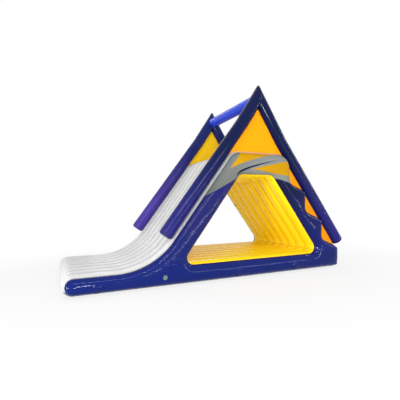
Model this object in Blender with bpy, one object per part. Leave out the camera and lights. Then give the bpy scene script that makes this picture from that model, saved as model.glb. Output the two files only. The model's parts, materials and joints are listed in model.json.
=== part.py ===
"""Inflatable floating water slide.

A ring-shaped air body of welded fabric panels, with rib webs inside, carries two A-frames of
tube, a crossbar, fabric infills, two valves and six anchor rings.
Metres, +Z up. +X runs from the landing nose to the climbing steps, and Y runs across.
The origin is on the floor, in the middle of the length and of the width.
"""

import math

import bmesh
import bpy
from mathutils import Matrix, Vector

# Fabric and ribs
WALL = 0.0009
GAP = 0.0003
SEAM_TRIM = 0.0005
RIB_COUNT = 8
RIB_PITCH = 0.335
RIB_HEIGHT = 0.05
LOBE_SEGMENTS = 4
LINING_LOBE_SEGMENTS = 3
SIDE_BULGE = 0.13
BULGE_SHARE = 0.42
SIDE_SEGMENTS = 5
WELD_BAND = 0.012
FACET_DEPTH = 0.007
FACET_TURN = 36.0
AIR_HOLE_RADIUS = 0.06
AIR_HOLE_SIDES = 8

# Slide and platform, in the side view: distances from the nose tip and heights over the floor
FOOT_HEIGHT = 0.40
SWEEP_RADIUS = 1.43
SLIDE_ANGLE = 52.9
SLIDE_TOP = 3.56
LIP_RADIUS = 0.35
PLATFORM_HEIGHT = 2.89
PLATFORM_END = 5.16
PLATFORM_CORNER_RADIUS = 0.36

# Climbing steps
STEP_COUNT = 3
FIRST_TREAD_DROP = 0.69
FIRST_TREAD_RUN = 0.49
TREAD_RUN = 0.54
TREAD_FALL = 0.22
STEP_RUN = 0.52
LAST_CREST_HEIGHT = 0.56
CREST_RADIUS = 0.13
VALLEY_RADIUS = 0.15
HEEL_RADIUS = 0.12

# Opening under the platform
OPENING_FLOOR = 0.41
PLATFORM_THICKNESS = 0.54
SLIDE_THICKNESS = 0.465
STAIR_THICKNESS = 0.60
OPENING_FOOT_RADIUS = 0.153
OPENING_FRONT_RADIUS = 0.12
OPENING_BACK_RADIUS = 0.20
SEAM_SHARE = 0.35
SEAM_DROP = 0.044
CAP_START_DROP = 1.03

# A-frames and crossbar
FRAME_INSET = 0.10
FRAME_RADIUS = 0.15
FRAME_SIDES = 16
FRONT_FOOT_HEIGHT = 1.03
FRONT_KNEE_RISE = 0.66
BACK_FOOT_HEIGHT = 0.66
BACK_KNEE_RISE = 0.26
APEX_ALONG = 4.32
APEX_RISE = 1.32
FOOT_ROUNDING = 0.04
CROSSBAR_RADIUS = 0.138
CROSSBAR_DROP = 0.06

# Inflation valve
VALVE_ALONG = 1.90
VALVE_FLANGE_RADIUS = 0.048
VALVE_FLANGE_THICKNESS = 0.004
VALVE_FLANGE_EDGE = 0.002
VALVE_NECK_RADIUS = 0.030
VALVE_BORE_RADIUS = 0.022
VALVE_DEPTH = 0.030
VALVE_RIM_HEIGHT = 0.010
VALVE_CAP_RADIUS = 0.035
VALVE_CAP_THICKNESS = 0.003
VALVE_CLEARANCE = 0.001
VALVE_SEAT_RADIUS = 0.014
VALVE_SEAT_THICKNESS = 0.003
VALVE_STEM_RADIUS = 0.004
VALVE_BUTTON_RADIUS = 0.0065
VALVE_BUTTON_THICKNESS = 0.003
VALVE_BUTTON_RECESS = 0.003
VALVE_DISC_LAP = 0.004
VALVE_DISC_THICKNESS = 0.003
PANEL_CUT = 0.06
VALVE_SIDES = 16

# Relief valve
RELIEF_HEIGHT = 1.66
RELIEF_FLANGE_RADIUS = 0.034
RELIEF_NECK_RADIUS = 0.022
RELIEF_BORE_RADIUS = 0.014
RELIEF_DEPTH = 0.020
RELIEF_POPPET_RADIUS = 0.018
RELIEF_POPPET_THICKNESS = 0.003
RELIEF_STEM_PAST = 0.004

# Anchor rings
ANCHOR_PLACES = (0.60, 3.60, 5.20)
PATCH_RADIUS = 0.038
PATCH_THICKNESS = 0.0015
LOOP_RADIUS = 0.0056
LOOP_BORE = 0.0033
LOOP_LENGTH = 0.028
RING_WIRE = 0.0026
RING_WIDTH = 0.042
RING_REACH = 0.036
RING_PIECES = 6

HALF_WIDTH = RIB_COUNT * RIB_PITCH / 2
SEAM = HALF_WIDTH + GAP
FRAME_Y = HALF_WIDTH - FRAME_INSET


def unit(u, z):
    length = math.hypot(u, z)
    return (u / length, z / length)


def meet(point_a, direction_a, point_b, direction_b):
    """Where two lines of the side view cross."""
    cross = direction_a[0] * direction_b[1] - direction_a[1] * direction_b[0]
    du = point_b[0] - point_a[0]
    dz = point_b[1] - point_a[1]
    along = (du * direction_b[1] - dz * direction_b[0]) / cross
    return (point_a[0] + along * direction_a[0], point_a[1] + along * direction_a[1])


def rounded(corners):
    """Stations (point, outward normal) round a closed outline, and each corner's first and last station.

    The body lies to the right of the direction of travel.
    """
    stations = []
    spans = []
    for k, (u, z, radius) in enumerate(corners):
        before = corners[k - 1]
        after = corners[(k + 1) % len(corners)]
        come = unit(u - before[0], z - before[1])
        leave = unit(after[0] - u, after[1] - z)
        turn = math.atan2(come[0] * leave[1] - come[1] * leave[0], come[0] * leave[0] + come[1] * leave[1])
        reach = radius * math.tan(abs(turn) / 2)
        side = 1 if turn > 0 else -1
        start = (u - come[0] * reach, z - come[1] * reach)
        centre = (start[0] - side * come[1] * radius, start[1] + side * come[0] * radius)
        step = min(2 * math.acos(1 - min(FACET_DEPTH / radius, 0.5)), math.radians(FACET_TURN))
        pieces = math.ceil(abs(turn) / step)
        first = len(stations)
        for i in range(pieces + 1):
            angle = turn * i / pieces
            normal = (
                -come[1] * math.cos(angle) - come[0] * math.sin(angle),
                come[0] * math.cos(angle) - come[1] * math.sin(angle),
            )
            point = (centre[0] - side * normal[0] * radius, centre[1] - side * normal[1] * radius)
            if stations and math.dist(stations[-1][0], point) < GAP:
                first = len(stations) - 1
                continue
            stations.append((point, normal))
        spans.append((first, len(stations) - 1))
    return stations, spans


def lifted(stations, height):
    """The points that stand at a height over the outline, along its normals."""
    return [(p[0] + n[0] * height, p[1] + n[1] * height) for p, n in stations]


def lobe(across):
    """Height over the rib grooves at a distance across the width."""
    radius = (RIB_PITCH**2 / 4 + RIB_HEIGHT**2) / (2 * RIB_HEIGHT)
    off = (across + HALF_WIDTH) % RIB_PITCH - RIB_PITCH / 2
    return math.sqrt(radius**2 - off**2) - (radius - RIB_HEIGHT)


def trimmed(stations, ends=(True, True), by=GAP / 2):
    """The stations, with a little taken off at the ends."""
    stations = list(stations)
    for end, (edge, inner) in zip(ends, ((0, 1), (-1, -2))):
        if end:
            (a, normal), (b, _) = stations[edge], stations[inner]
            d = unit(b[0] - a[0], b[1] - a[1])
            stations[edge] = ((a[0] + d[0] * by, a[1] + d[1] * by), normal)
    return stations


# Side-view outlines
SLIDE_SLOPE = (math.cos(math.radians(SLIDE_ANGLE)), math.sin(math.radians(SLIDE_ANGLE)))
SLIDE_NORMAL = (-SLIDE_SLOPE[1], SLIDE_SLOPE[0])
SLIDE_HEAD = (SLIDE_TOP, PLATFORM_HEIGHT)
FOOT_CORNER = meet((0, FOOT_HEIGHT), (1, 0), SLIDE_HEAD, SLIDE_SLOPE)


def step_corners():
    """Tread crests and the valleys between them, from the platform down."""
    valley = (PLATFORM_END, PLATFORM_HEIGHT - FIRST_TREAD_DROP)
    crest = (valley[0] + FIRST_TREAD_RUN, valley[1] - FIRST_TREAD_RUN * TREAD_FALL / TREAD_RUN)
    rise = (crest[1] - LAST_CREST_HEIGHT) / (STEP_COUNT - 1)
    corners = [(*valley, VALLEY_RADIUS), (*crest, CREST_RADIUS)]
    for _ in range(STEP_COUNT - 1):
        crest = (crest[0] + STEP_RUN, crest[1] - rise)
        corners.append((crest[0] - TREAD_RUN, crest[1] + TREAD_FALL, VALLEY_RADIUS))
        corners.append((*crest, CREST_RADIUS))
    return corners, unit(STEP_RUN, -rise)


STEPS, STAIR_SLOPE = step_corners()
STAIR_NORMAL = (-STAIR_SLOPE[1], STAIR_SLOPE[0])
BASE_END = STEPS[-1][0]
NOSE_RADIUS = FOOT_HEIGHT / 2

OUTER, OUTER_SPANS = rounded(
    [
        (0, 0, NOSE_RADIUS),
        (0, FOOT_HEIGHT, NOSE_RADIUS),
        (*FOOT_CORNER, SWEEP_RADIUS),
        (*SLIDE_HEAD, LIP_RADIUS),
        (PLATFORM_END, PLATFORM_HEIGHT, PLATFORM_CORNER_RADIUS),
        *STEPS,
        (BASE_END, 0, HEEL_RADIUS),
    ]
)
NOSE_LOW, NOSE_HIGH, SWEEP, LIP, PLATFORM_CORNER = range(5)
FIRST_VALLEY = 5
FIRST_CREST = 6
LAST_CREST = 5 + len(STEPS) - 1
HEEL = LAST_CREST + 1
STAIR_REACH = max(p[0] * STAIR_NORMAL[0] + p[1] * STAIR_NORMAL[1] for p, _ in OUTER[OUTER_SPANS[LIP][1] :])


def opening_corners():
    """The opening's four corners at the level of its seams."""
    front = (SLIDE_HEAD[0] - SLIDE_NORMAL[0] * SLIDE_THICKNESS, SLIDE_HEAD[1] - SLIDE_NORMAL[1] * SLIDE_THICKNESS)
    inset = STAIR_REACH - STAIR_THICKNESS
    back = (STAIR_NORMAL[0] * inset, STAIR_NORMAL[1] * inset)
    floor = (0, OPENING_FLOOR)
    top = (0, PLATFORM_HEIGHT - PLATFORM_THICKNESS)
    return [
        (*meet(floor, (1, 0), front, SLIDE_SLOPE), OPENING_FOOT_RADIUS),
        (*meet(floor, (1, 0), back, STAIR_SLOPE), OPENING_FOOT_RADIUS),
        (*meet(top, (1, 0), back, STAIR_SLOPE), OPENING_BACK_RADIUS),
        (*meet(top, (1, 0), front, SLIDE_SLOPE), OPENING_FRONT_RADIUS),
    ]


INNER, INNER_SPANS = rounded(opening_corners())
FRONT_FOOT, BACK_FOOT, BACK_TOP, FRONT_TOP = range(4)


def middle(span):
    return (span[0] + span[1]) // 2


def seat_offset():
    """How far a frame tube's axis stands off the rib crests when the tube lies on the outermost rib."""
    steps = 40
    best = -1
    for i in range(-steps, steps + 1):
        off = FRAME_RADIUS * i / steps
        if abs(FRAME_Y + off) < HALF_WIDTH:
            best = max(best, math.sqrt(FRAME_RADIUS**2 - off**2) + lobe(FRAME_Y + off) - RIB_HEIGHT)
    return best + GAP


SEAT = seat_offset()
APEX = (APEX_ALONG, PLATFORM_HEIGHT + APEX_RISE)


def leg_line(point, slope, heights):
    """Points at given heights on a leg's straight run."""
    return [meet(point, slope, (0, z), (1, 0)) for z in heights]


FRONT_RUN = leg_line(
    (SLIDE_HEAD[0] + SLIDE_NORMAL[0] * SEAT, SLIDE_HEAD[1] + SLIDE_NORMAL[1] * SEAT),
    SLIDE_SLOPE,
    (FRONT_FOOT_HEIGHT, PLATFORM_HEIGHT + FRONT_KNEE_RISE),
)
BACK_RUN = leg_line(
    (STAIR_NORMAL[0] * (STAIR_REACH + SEAT), STAIR_NORMAL[1] * (STAIR_REACH + SEAT)),
    STAIR_SLOPE,
    (BACK_FOOT_HEIGHT, PLATFORM_HEIGHT + BACK_KNEE_RISE),
)
# Each round of a foot: how far up the leg it is, and how much smaller than the leg
FOOT_ROUNDS = ((0, FOOT_ROUNDING), (FOOT_ROUNDING * 0.3, FOOT_ROUNDING * 0.3), (FOOT_ROUNDING, 0))
LENGTH = BACK_RUN[0][0] + max(
    STAIR_NORMAL[0] * (FRAME_RADIUS - less) - STAIR_SLOPE[0] * up for up, less in FOOT_ROUNDS
)
MIDDLE = LENGTH / 2


def at(point, across):
    """A side-view point at a distance across the width, in the part's own frame."""
    return Vector((point[0] - MIDDLE, across, point[1]))


def material(name, colour, roughness, metallic=0.0):
    made = bpy.data.materials.new(name)
    made.use_nodes = True
    shader = made.node_tree.nodes["Principled BSDF"]
    shader.inputs["Base Color"].default_value = (*colour, 1)
    shader.inputs["Roughness"].default_value = roughness
    shader.inputs["Metallic"].default_value = metallic
    return made


def add(name, mesh_or_bmesh, finish, place=None):
    """An object from a mesh, with its own copy of a finish."""
    data = mesh_or_bmesh
    if isinstance(data, bmesh.types.BMesh):
        data = bpy.data.meshes.new(name)
        mesh_or_bmesh.to_mesh(data)
        mesh_or_bmesh.free()
    thing = bpy.data.objects.new(name, data)
    bpy.context.scene.collection.objects.link(thing)
    data.materials.append(material(name + "_finish", *finish))
    if place is not None:
        thing.matrix_world = place
    return thing


BLUE = ((0.018, 0.022, 0.26), 0.3)
NAVY = ((0.012, 0.018, 0.12), 0.3)
ROYAL = ((0.02, 0.04, 0.62), 0.25)
WHITE = ((0.82, 0.82, 0.80), 0.35)
YELLOW = ((0.95, 0.55, 0.02), 0.4)
GREY = ((0.45, 0.47, 0.48), 0.45)
WEB = ((0.60, 0.60, 0.58), 0.6)
PLASTIC = ((0.55, 0.57, 0.58), 0.4)
BLACK = ((0.02, 0.02, 0.02), 0.5)
STEEL = ((0.60, 0.60, 0.62), 0.25, 1.0)


def shaped_grid(rows, columns, place):
    """A grid of quads whose corner (i, j) stands at place(i, j), with its coincident corners made one."""
    grid = bmesh.new()
    bmesh.ops.create_grid(grid, x_segments=rows, y_segments=columns, size=1)
    for corner in grid.verts:
        i = round((corner.co.x + 1) / 2 * rows)
        j = round((corner.co.y + 1) / 2 * columns)
        corner.co = place(i, j)
    bmesh.ops.remove_doubles(grid, verts=grid.verts, dist=1e-5)
    return grid


def give_wall(thing):
    wall = thing.modifiers.new("Wall", "SOLIDIFY")
    wall.thickness = WALL
    wall.offset = -1
    wall.use_even_offset = True
    wall.use_quality_normals = True
    return thing


def ribbed(name, stations, finish, level=-RIB_HEIGHT, segments=LOBE_SEGMENTS, flat=False):
    """A panel across the width along stations of the side view, with a lobe, or a flat one, over each chamber."""
    columns = RIB_COUNT * segments

    def place(i, j):
        (u, z), normal = stations[i]
        across = -HALF_WIDTH + RIB_PITCH * j / segments
        height = level
        if j % segments:
            height += RIB_HEIGHT if flat else lobe(across)
        return at((u + normal[0] * height, z + normal[1] * height), across)

    return give_wall(add(name, shaped_grid(len(stations) - 1, columns, place), finish))


def run(stations, first, last):
    """The stations from one to another, round the end of the list where needed."""
    if last < first:
        return stations[first:] + stations[: last + 1]
    return stations[first : last + 1]


def make_decks():
    spans = OUTER_SPANS
    ribbed("slide_deck", trimmed(run(OUTER, spans[NOSE_LOW][0], spans[LIP][1])), WHITE)
    ribbed("platform_deck", trimmed(run(OUTER, spans[LIP][1], spans[FIRST_VALLEY][1])), WHITE)
    for k in range(STEP_COUNT):
        crest = FIRST_CREST + 2 * k
        end = spans[crest][1] if crest == LAST_CREST else spans[crest + 1][1]
        ribbed(f"climbing_step_{k + 1}", trimmed(run(OUTER, spans[crest - 1][1], end)), BLUE)
    ribbed("base_end", trimmed(run(OUTER, spans[LAST_CREST][1], spans[HEEL][1])), BLUE)
    bottom = [OUTER[spans[HEEL][1]], OUTER[spans[NOSE_LOW][0]]]
    ribbed("base_bottom", trimmed(bottom), BLUE, segments=3, flat=True)


def make_lining():
    spans = INNER_SPANS
    mids = [middle(spans[FRONT_FOOT]), middle(spans[BACK_FOOT])]
    panels = (
        ("opening_floor", mids[0], mids[1]),
        ("opening_back_wall", mids[1], spans[BACK_TOP][0]),
        ("opening_ceiling", spans[BACK_TOP][0], spans[FRONT_TOP][1]),
        ("opening_front_wall", spans[FRONT_TOP][1], mids[0]),
    )
    for name, first, last in panels:
        ribbed(name, trimmed(run(INNER, first, last)), YELLOW, 0, LINING_LOBE_SEGMENTS)


def shares(path):
    """How far along a path each of its points is, from 0 to 1."""
    lengths = [0]
    for a, b in zip(path, path[1:]):
        lengths.append(lengths[-1] + math.dist(a, b))
    return [length / lengths[-1] for length in lengths]


def point_at(path, marks, share):
    for k in range(1, len(path)):
        if share <= marks[k] + 1e-9:
            part = (share - marks[k - 1]) / max(marks[k] - marks[k - 1], 1e-9)
            a, b = path[k - 1], path[k]
            return (a[0] + (b[0] - a[0]) * part, a[1] + (b[1] - a[1]) * part)
    return path[-1]


def paired(low, high):
    """Stations across a side panel: one at each point of either edge."""
    low_marks = shares(low)
    high_marks = shares(high)
    cuts = []
    for share in sorted(low_marks + high_marks):
        if not cuts or share - cuts[-1] > 1e-6:
            cuts.append(share)
    return [(point_at(low, low_marks, c), point_at(high, high_marks, c)) for c in cuts]


def side_point(low, high, j, closed=False):
    """Corner j across a side panel: a weld band at each edge and a round swell between them."""
    if closed:
        swell, band = 0, 0
    else:
        swell = min(SIDE_BULGE, BULGE_SHARE * math.dist(low, high))
        band = WELD_BAND
    last = SIDE_SEGMENTS + 2
    angle = math.pi * min(max(j - 1, 0), SIDE_SEGMENTS) / SIDE_SEGMENTS
    share = (1 - math.cos(angle)) / 2
    point = (low[0] + (high[0] - low[0]) * share, low[1] + (high[1] - low[1]) * share)
    if j in (0, last):
        return point, 0
    return point, band + swell * math.sin(angle)


def side_panel(name, pairs, side, finish, closed=(False, False)):
    """A side panel between two edges, bulging away from the body; a closed end comes back to the seam."""
    pairs = list(pairs)
    if closed[0]:
        pairs.insert(0, pairs[0])
    if closed[1]:
        pairs.append(pairs[-1])

    def place(i, j):
        shut = (i == 0 and closed[0]) or (i == len(pairs) - 1 and closed[1])
        point, out = side_point(*pairs[i], j, shut)
        return at(point, side * (SEAM + out))

    grid = shaped_grid(len(pairs) - 1, SIDE_SEGMENTS + 2, place)
    if side > 0:
        bmesh.ops.reverse_faces(grid, faces=grid.faces)
    return give_wall(add(name, grid, finish))


def raised(point, height):
    return (point[0], point[1] + height)


def side_edges():
    """The edges of the side panels, in the side view."""
    groove = lifted(OUTER, -RIB_HEIGHT)
    hole = [p for p, _ in INNER]
    out, ins = OUTER_SPANS, INNER_SPANS
    split = out[SWEEP][0] + max(1, round(SEAM_SHARE * (out[SWEEP][1] - out[SWEEP][0])))
    front = middle(ins[FRONT_FOOT])
    back = middle(ins[BACK_FOOT])
    heel = groove[out[LAST_CREST][1]]
    drop = raised(groove[split], -SEAM_DROP)
    low = list(reversed(groove[out[NOSE_LOW][0] : out[NOSE_LOW][1] + 1]))
    low += list(reversed(groove[out[HEEL][0] : out[HEEL][1] + 1]))
    high = groove[out[NOSE_HIGH][0] : split + 1] + [drop] + hole[front : back + 1] + [heel]
    cap_start = meet((0, PLATFORM_HEIGHT - CAP_START_DROP), (1, 0), groove[out[SWEEP][1]], SLIDE_SLOPE)
    front_in = [raised(drop, GAP), raised(hole[front], GAP)]
    front_in += list(reversed(run(hole, ins[FRONT_TOP][1], front)))[1:]
    front_out = groove[split : out[SWEEP][1] + 1] + [cap_start]
    cap_in = list(reversed(hole[ins[BACK_TOP][0] : ins[FRONT_TOP][1] + 1]))
    cap_out = [cap_start] + groove[out[LIP][0] : out[FIRST_VALLEY][1] + 1]
    back_in = list(reversed(hole[back + 1 : ins[BACK_TOP][0] + 1])) + [raised(hole[back], GAP)]
    back_in += [raised(heel, GAP)]
    back_out = groove[out[FIRST_VALLEY][1] : out[LAST_CREST][1]] + [raised(heel, GAP)]
    return {
        "base": (low, high),
        "slide_leg": (front_in, front_out),
        "cap": (cap_in, cap_out),
        "stair_leg": (back_in, back_out),
    }


def trim_path(path, first=True, last=True):
    flat = trimmed([(p, (0, 0)) for p in path], (first, last), SEAM_TRIM)
    return [p for p, _ in flat]


def make_sides():
    edges = side_edges()
    for side, word in ((-1, "near"), (1, "far")):
        side_panel(f"{word}_base_side", paired(*edges["base"]), side, BLUE, (False, True))
        inner, outer = edges["slide_leg"]
        pairs = paired(trim_path(inner), trim_path(outer))
        side_panel(f"{word}_slide_leg_side", pairs, side, BLUE, (True, False))
        inner, outer = edges["cap"]
        side_panel(f"{word}_cap", paired(trim_path(inner), trim_path(outer)), side, GREY)
        inner, outer = edges["stair_leg"]
        pairs = paired(trim_path(inner, last=False), trim_path(outer, last=False))
        side_panel(f"{word}_stair_leg_side", pairs, side, BLUE)


def as_cutter(thing):
    """Marks a body that only shapes others."""
    thing.hide_render = True
    thing.display_type = "WIRE"
    return thing


def cut_by(thing, tool, operation="DIFFERENCE"):
    step = thing.modifiers.new(operation.title(), "BOOLEAN")
    step.operation = operation
    step.object = tool


def plate(name, outlines, across, finish):
    """A flat sheet upright along the length, from closed outlines of the side view."""
    curve = bpy.data.curves.new(name, "CURVE")
    curve.dimensions = "2D"
    curve.fill_mode = "BOTH"
    curve.extrude = WALL / 2
    for outline in outlines:
        spline = curve.splines.new("POLY")
        spline.points.add(len(outline) - 1)
        for point, (u, z) in zip(spline.points, outline):
            point.co = (u - MIDDLE, z, 0, 1)
        spline.use_cyclic_u = True
    turn = Matrix.Translation((0, across, 0)) @ Matrix.Rotation(math.pi / 2, 4, "X")
    return add(name, curve, finish, turn)


def air_holes():
    """Holes that let air pass from chamber to chamber: one below each end of the opening, and one in each leg."""
    foot, heel, stair_head, slide_head = [(u, z) for u, z, _ in opening_corners()]
    front = ((foot[0] + slide_head[0]) / 2, (foot[1] + slide_head[1]) / 2)
    back = ((heel[0] + stair_head[0]) / 2, (heel[1] + stair_head[1]) / 2)
    off_front = (SLIDE_THICKNESS - RIB_HEIGHT) / 2
    off_back = STAIR_THICKNESS / 4
    centres = [
        (foot[0], foot[1] / 2),
        (heel[0], heel[1] / 2),
        (front[0] + SLIDE_NORMAL[0] * off_front, front[1] + SLIDE_NORMAL[1] * off_front),
        (back[0] + STAIR_NORMAL[0] * off_back, back[1] + STAIR_NORMAL[1] * off_back),
    ]
    outlines = []
    for u, z in centres:
        turns = [2 * math.pi * (k + 0.5) / AIR_HOLE_SIDES for k in range(AIR_HOLE_SIDES)]
        outlines.append([(u + AIR_HOLE_RADIUS * math.cos(t), z + AIR_HOLE_RADIUS * math.sin(t)) for t in turns])
    return outlines


def make_webs():
    """The rib webs inside the body, which stop a gap short of the skins."""
    clear = 1.35 * WALL + GAP
    outline = lifted(OUTER, -RIB_HEIGHT - clear)
    hole = lifted(INNER, -clear)
    for k in range(1, RIB_COUNT):
        plate(f"rib_web_{k}", [outline, hole, *air_holes()], k * RIB_PITCH - HALF_WIDTH, WEB)


def ring(mesh, centre, direction, radius):
    """A round of corners across a tube's direction in the side view, the first one on its inner line."""
    made = bmesh.ops.create_circle(mesh, segments=FRAME_SIDES, radius=radius)["verts"]
    side = Vector((-direction[1], 0, direction[0]))
    for k, corner in enumerate(made):
        angle = 2 * math.pi * k / FRAME_SIDES
        corner.co = centre + side * (radius * math.cos(angle)) + Vector((0, radius * math.sin(angle), 0))
    return made


def tube(name, skins, finish, first_open=False, last_open=False):
    """A tube through rounds of corners: one skin makes it solid, and a second one inside it makes it hollow."""
    mesh = bmesh.new()
    layers = [[make(mesh) for make in rings] for rings in skins]

    def join(a, b):
        for k in range(FRAME_SIDES):
            n = (k + 1) % FRAME_SIDES
            mesh.faces.new((a[k], a[n], b[n], b[k]))

    for rounds in layers:
        for a, b in zip(rounds, rounds[1:]):
            join(a, b)
    for end, is_open in ((0, first_open), (-1, last_open)):
        if is_open:
            join(layers[0][end], layers[1][end])
        else:
            for rounds in layers:
                mesh.faces.new(rounds[end])
    bmesh.ops.recalc_face_normals(mesh, faces=mesh.faces)
    thing = add(name, mesh, finish)
    thing.data.shade_smooth()
    thing.data.set_sharp_from_angle(angle=math.radians(40))
    return thing


def leg_rings(path, other, across, swell=0, past=-GAP / 2):
    """Rounds of a leg: a rounded foot, the bend at its knee, and a mitre that stops just short of the apex.

    The swell is what the rounds are larger by than the leg's outside.
    """
    radius = FRAME_RADIUS + swell
    foot, knee = path
    low = unit(knee[0] - foot[0], knee[1] - foot[1])
    high = unit(APEX[0] - knee[0], APEX[1] - knee[1])
    twin = unit(APEX[0] - other[1][0], APEX[1] - other[1][1])
    bend = unit(low[0] + high[0], low[1] + high[1])
    cut = unit(-(high[1] + twin[1]), high[0] + twin[0])
    if cut[0] * high[0] + cut[1] * high[1] < 0:
        cut = (-cut[0], -cut[1])
    stop = (APEX[0] + cut[0] * past, APEX[1] + cut[1] * past)

    def square(along, size):
        centre = (foot[0] + low[0] * along, foot[1] + low[1] * along)
        return lambda mesh: ring(mesh, at(centre, across), low, size)

    def mitred(mesh, centre, direction, through, normal):
        corners = ring(mesh, at(centre, across), direction, radius)
        plane = at(through, across)
        facing_out = Vector((normal[0], 0, normal[1]))
        ahead = Vector((direction[0], 0, direction[1]))
        for corner in corners:
            corner.co += ahead * ((plane - corner.co).dot(facing_out) / ahead.dot(facing_out))
        return corners

    return [
        *(square(up - swell, radius - less) for up, less in FOOT_ROUNDS),
        lambda mesh: mitred(mesh, knee, low, knee, bend),
        lambda mesh: mitred(mesh, APEX, high, stop, cut),
    ]


def make_frames():
    """The A-frames, and the crossbar whose ends are cut to the round of their tubes."""
    legs = (("front", FRONT_RUN, BACK_RUN), ("back", BACK_RUN, FRONT_RUN))
    cutters = []
    for side, word in ((-1, "near"), (1, "far")):
        for part, path, other in legs:
            skins = [leg_rings(path, other, side * FRAME_Y, swell) for swell in (0, -WALL)]
            tube(f"{word}_frame_{part}_leg", skins, NAVY, last_open=True)
            wide = leg_rings(path, other, side * FRAME_Y, GAP, past=FOOT_ROUNDING)
            cutters.append(as_cutter(tube(f"{word}_{part}_leg_cut", [wide], BLACK)))
    centre = (APEX[0], APEX[1] - CROSSBAR_DROP)

    def end(side, radius):
        def make(mesh):
            corners = bmesh.ops.create_circle(mesh, segments=FRAME_SIDES, radius=radius)["verts"]
            for k, corner in enumerate(corners):
                angle = 2 * math.pi * k / FRAME_SIDES
                point = (centre[0] + radius * math.cos(angle), centre[1] + radius * math.sin(angle))
                corner.co = at(point, side * FRAME_Y)
            return corners

        return make

    skins = [[end(-1, radius), end(1, radius)] for radius in (CROSSBAR_RADIUS, CROSSBAR_RADIUS - WALL)]
    bar = tube("crossbar", skins, ROYAL, first_open=True, last_open=True)
    for cutter in cutters:
        cut_by(bar, cutter)


def make_infills():
    """The fabric infills, from the legs' inner lines down to the decks and steps."""
    level = lobe(FRAME_Y) - RIB_HEIGHT + GAP
    first = OUTER_SPANS[LIP][0]
    last = OUTER_SPANS[LAST_CREST][0]
    lower = lifted(OUTER[first : last + 1], level)
    reach = FRAME_RADIUS + GAP

    def inner_line(a, b, side):
        d = unit(b[0] - a[0], b[1] - a[1])
        n = (-d[1] * side, d[0] * side)
        return ((a[0] + n[0] * reach, a[1] + n[1] * reach), d)

    front_low = inner_line(*FRONT_RUN, -1)
    front_high = inner_line(FRONT_RUN[1], APEX, -1)
    back_low = inner_line(*BACK_RUN, 1)
    back_high = inner_line(BACK_RUN[1], APEX, 1)
    upper = [
        meet(*front_low, lower[0], (-front_low[1][1], front_low[1][0])),
        meet(*front_low, *front_high),
        meet(*front_high, *back_high),
        meet(*back_high, *back_low),
        meet(*back_low, lower[-1], (-back_low[1][1], back_low[1][0])),
    ]
    for side, word in ((-1, "near"), (1, "far")):
        plate(f"{word}_infill", [list(reversed(lower)) + upper], side * FRAME_Y, YELLOW)


def turned(name, profile, place, finish, steps=VALVE_SIDES):
    """A body turned round its own Z axis from a profile of (radius, height)."""
    mesh = bmesh.new()
    verts = [mesh.verts.new((r, 0, h)) for r, h in profile]
    edges = [mesh.edges.new((a, b)) for a, b in zip(verts, verts[1:])]
    if profile[0][0] > 0:
        edges.append(mesh.edges.new((verts[-1], verts[0])))
    bmesh.ops.spin(
        mesh,
        geom=verts + edges,
        cent=(0, 0, 0),
        axis=(0, 0, 1),
        angle=2 * math.pi,
        steps=steps,
        use_merge=True,
    )
    bmesh.ops.remove_doubles(mesh, verts=mesh.verts, dist=1e-6)
    bmesh.ops.recalc_face_normals(mesh, faces=mesh.faces)
    thing = add(name, mesh, finish, place)
    thing.data.shade_smooth()
    thing.data.set_sharp_from_angle(angle=math.radians(35))
    return thing


def facing(point, outward):
    """A place whose Z axis points outward."""
    z = Vector(outward).normalized()
    y = Vector((0, 1, 0)) if abs(z.y) < 0.9 else Vector((1, 0, 0))
    x = y.cross(z).normalized()
    turn = Matrix((x, z.cross(x), z)).transposed().to_4x4()
    return Matrix.Translation(point) @ turn


def cylinder(radius, depth, place, segments):
    mesh = bmesh.new()
    bmesh.ops.create_cone(mesh, cap_ends=True, segments=segments, radius1=radius, radius2=radius, depth=depth)
    mesh.transform(place)
    return mesh


def bored(panel, place, neck_radius):
    """Cuts a valve's round hole through a panel."""
    mesh = cylinder(neck_radius + VALVE_CLEARANCE, PANEL_CUT, Matrix(), VALVE_SIDES)
    cut_by(panel, as_cutter(add(panel.name + "_hole", mesh, BLACK, place)))


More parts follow.
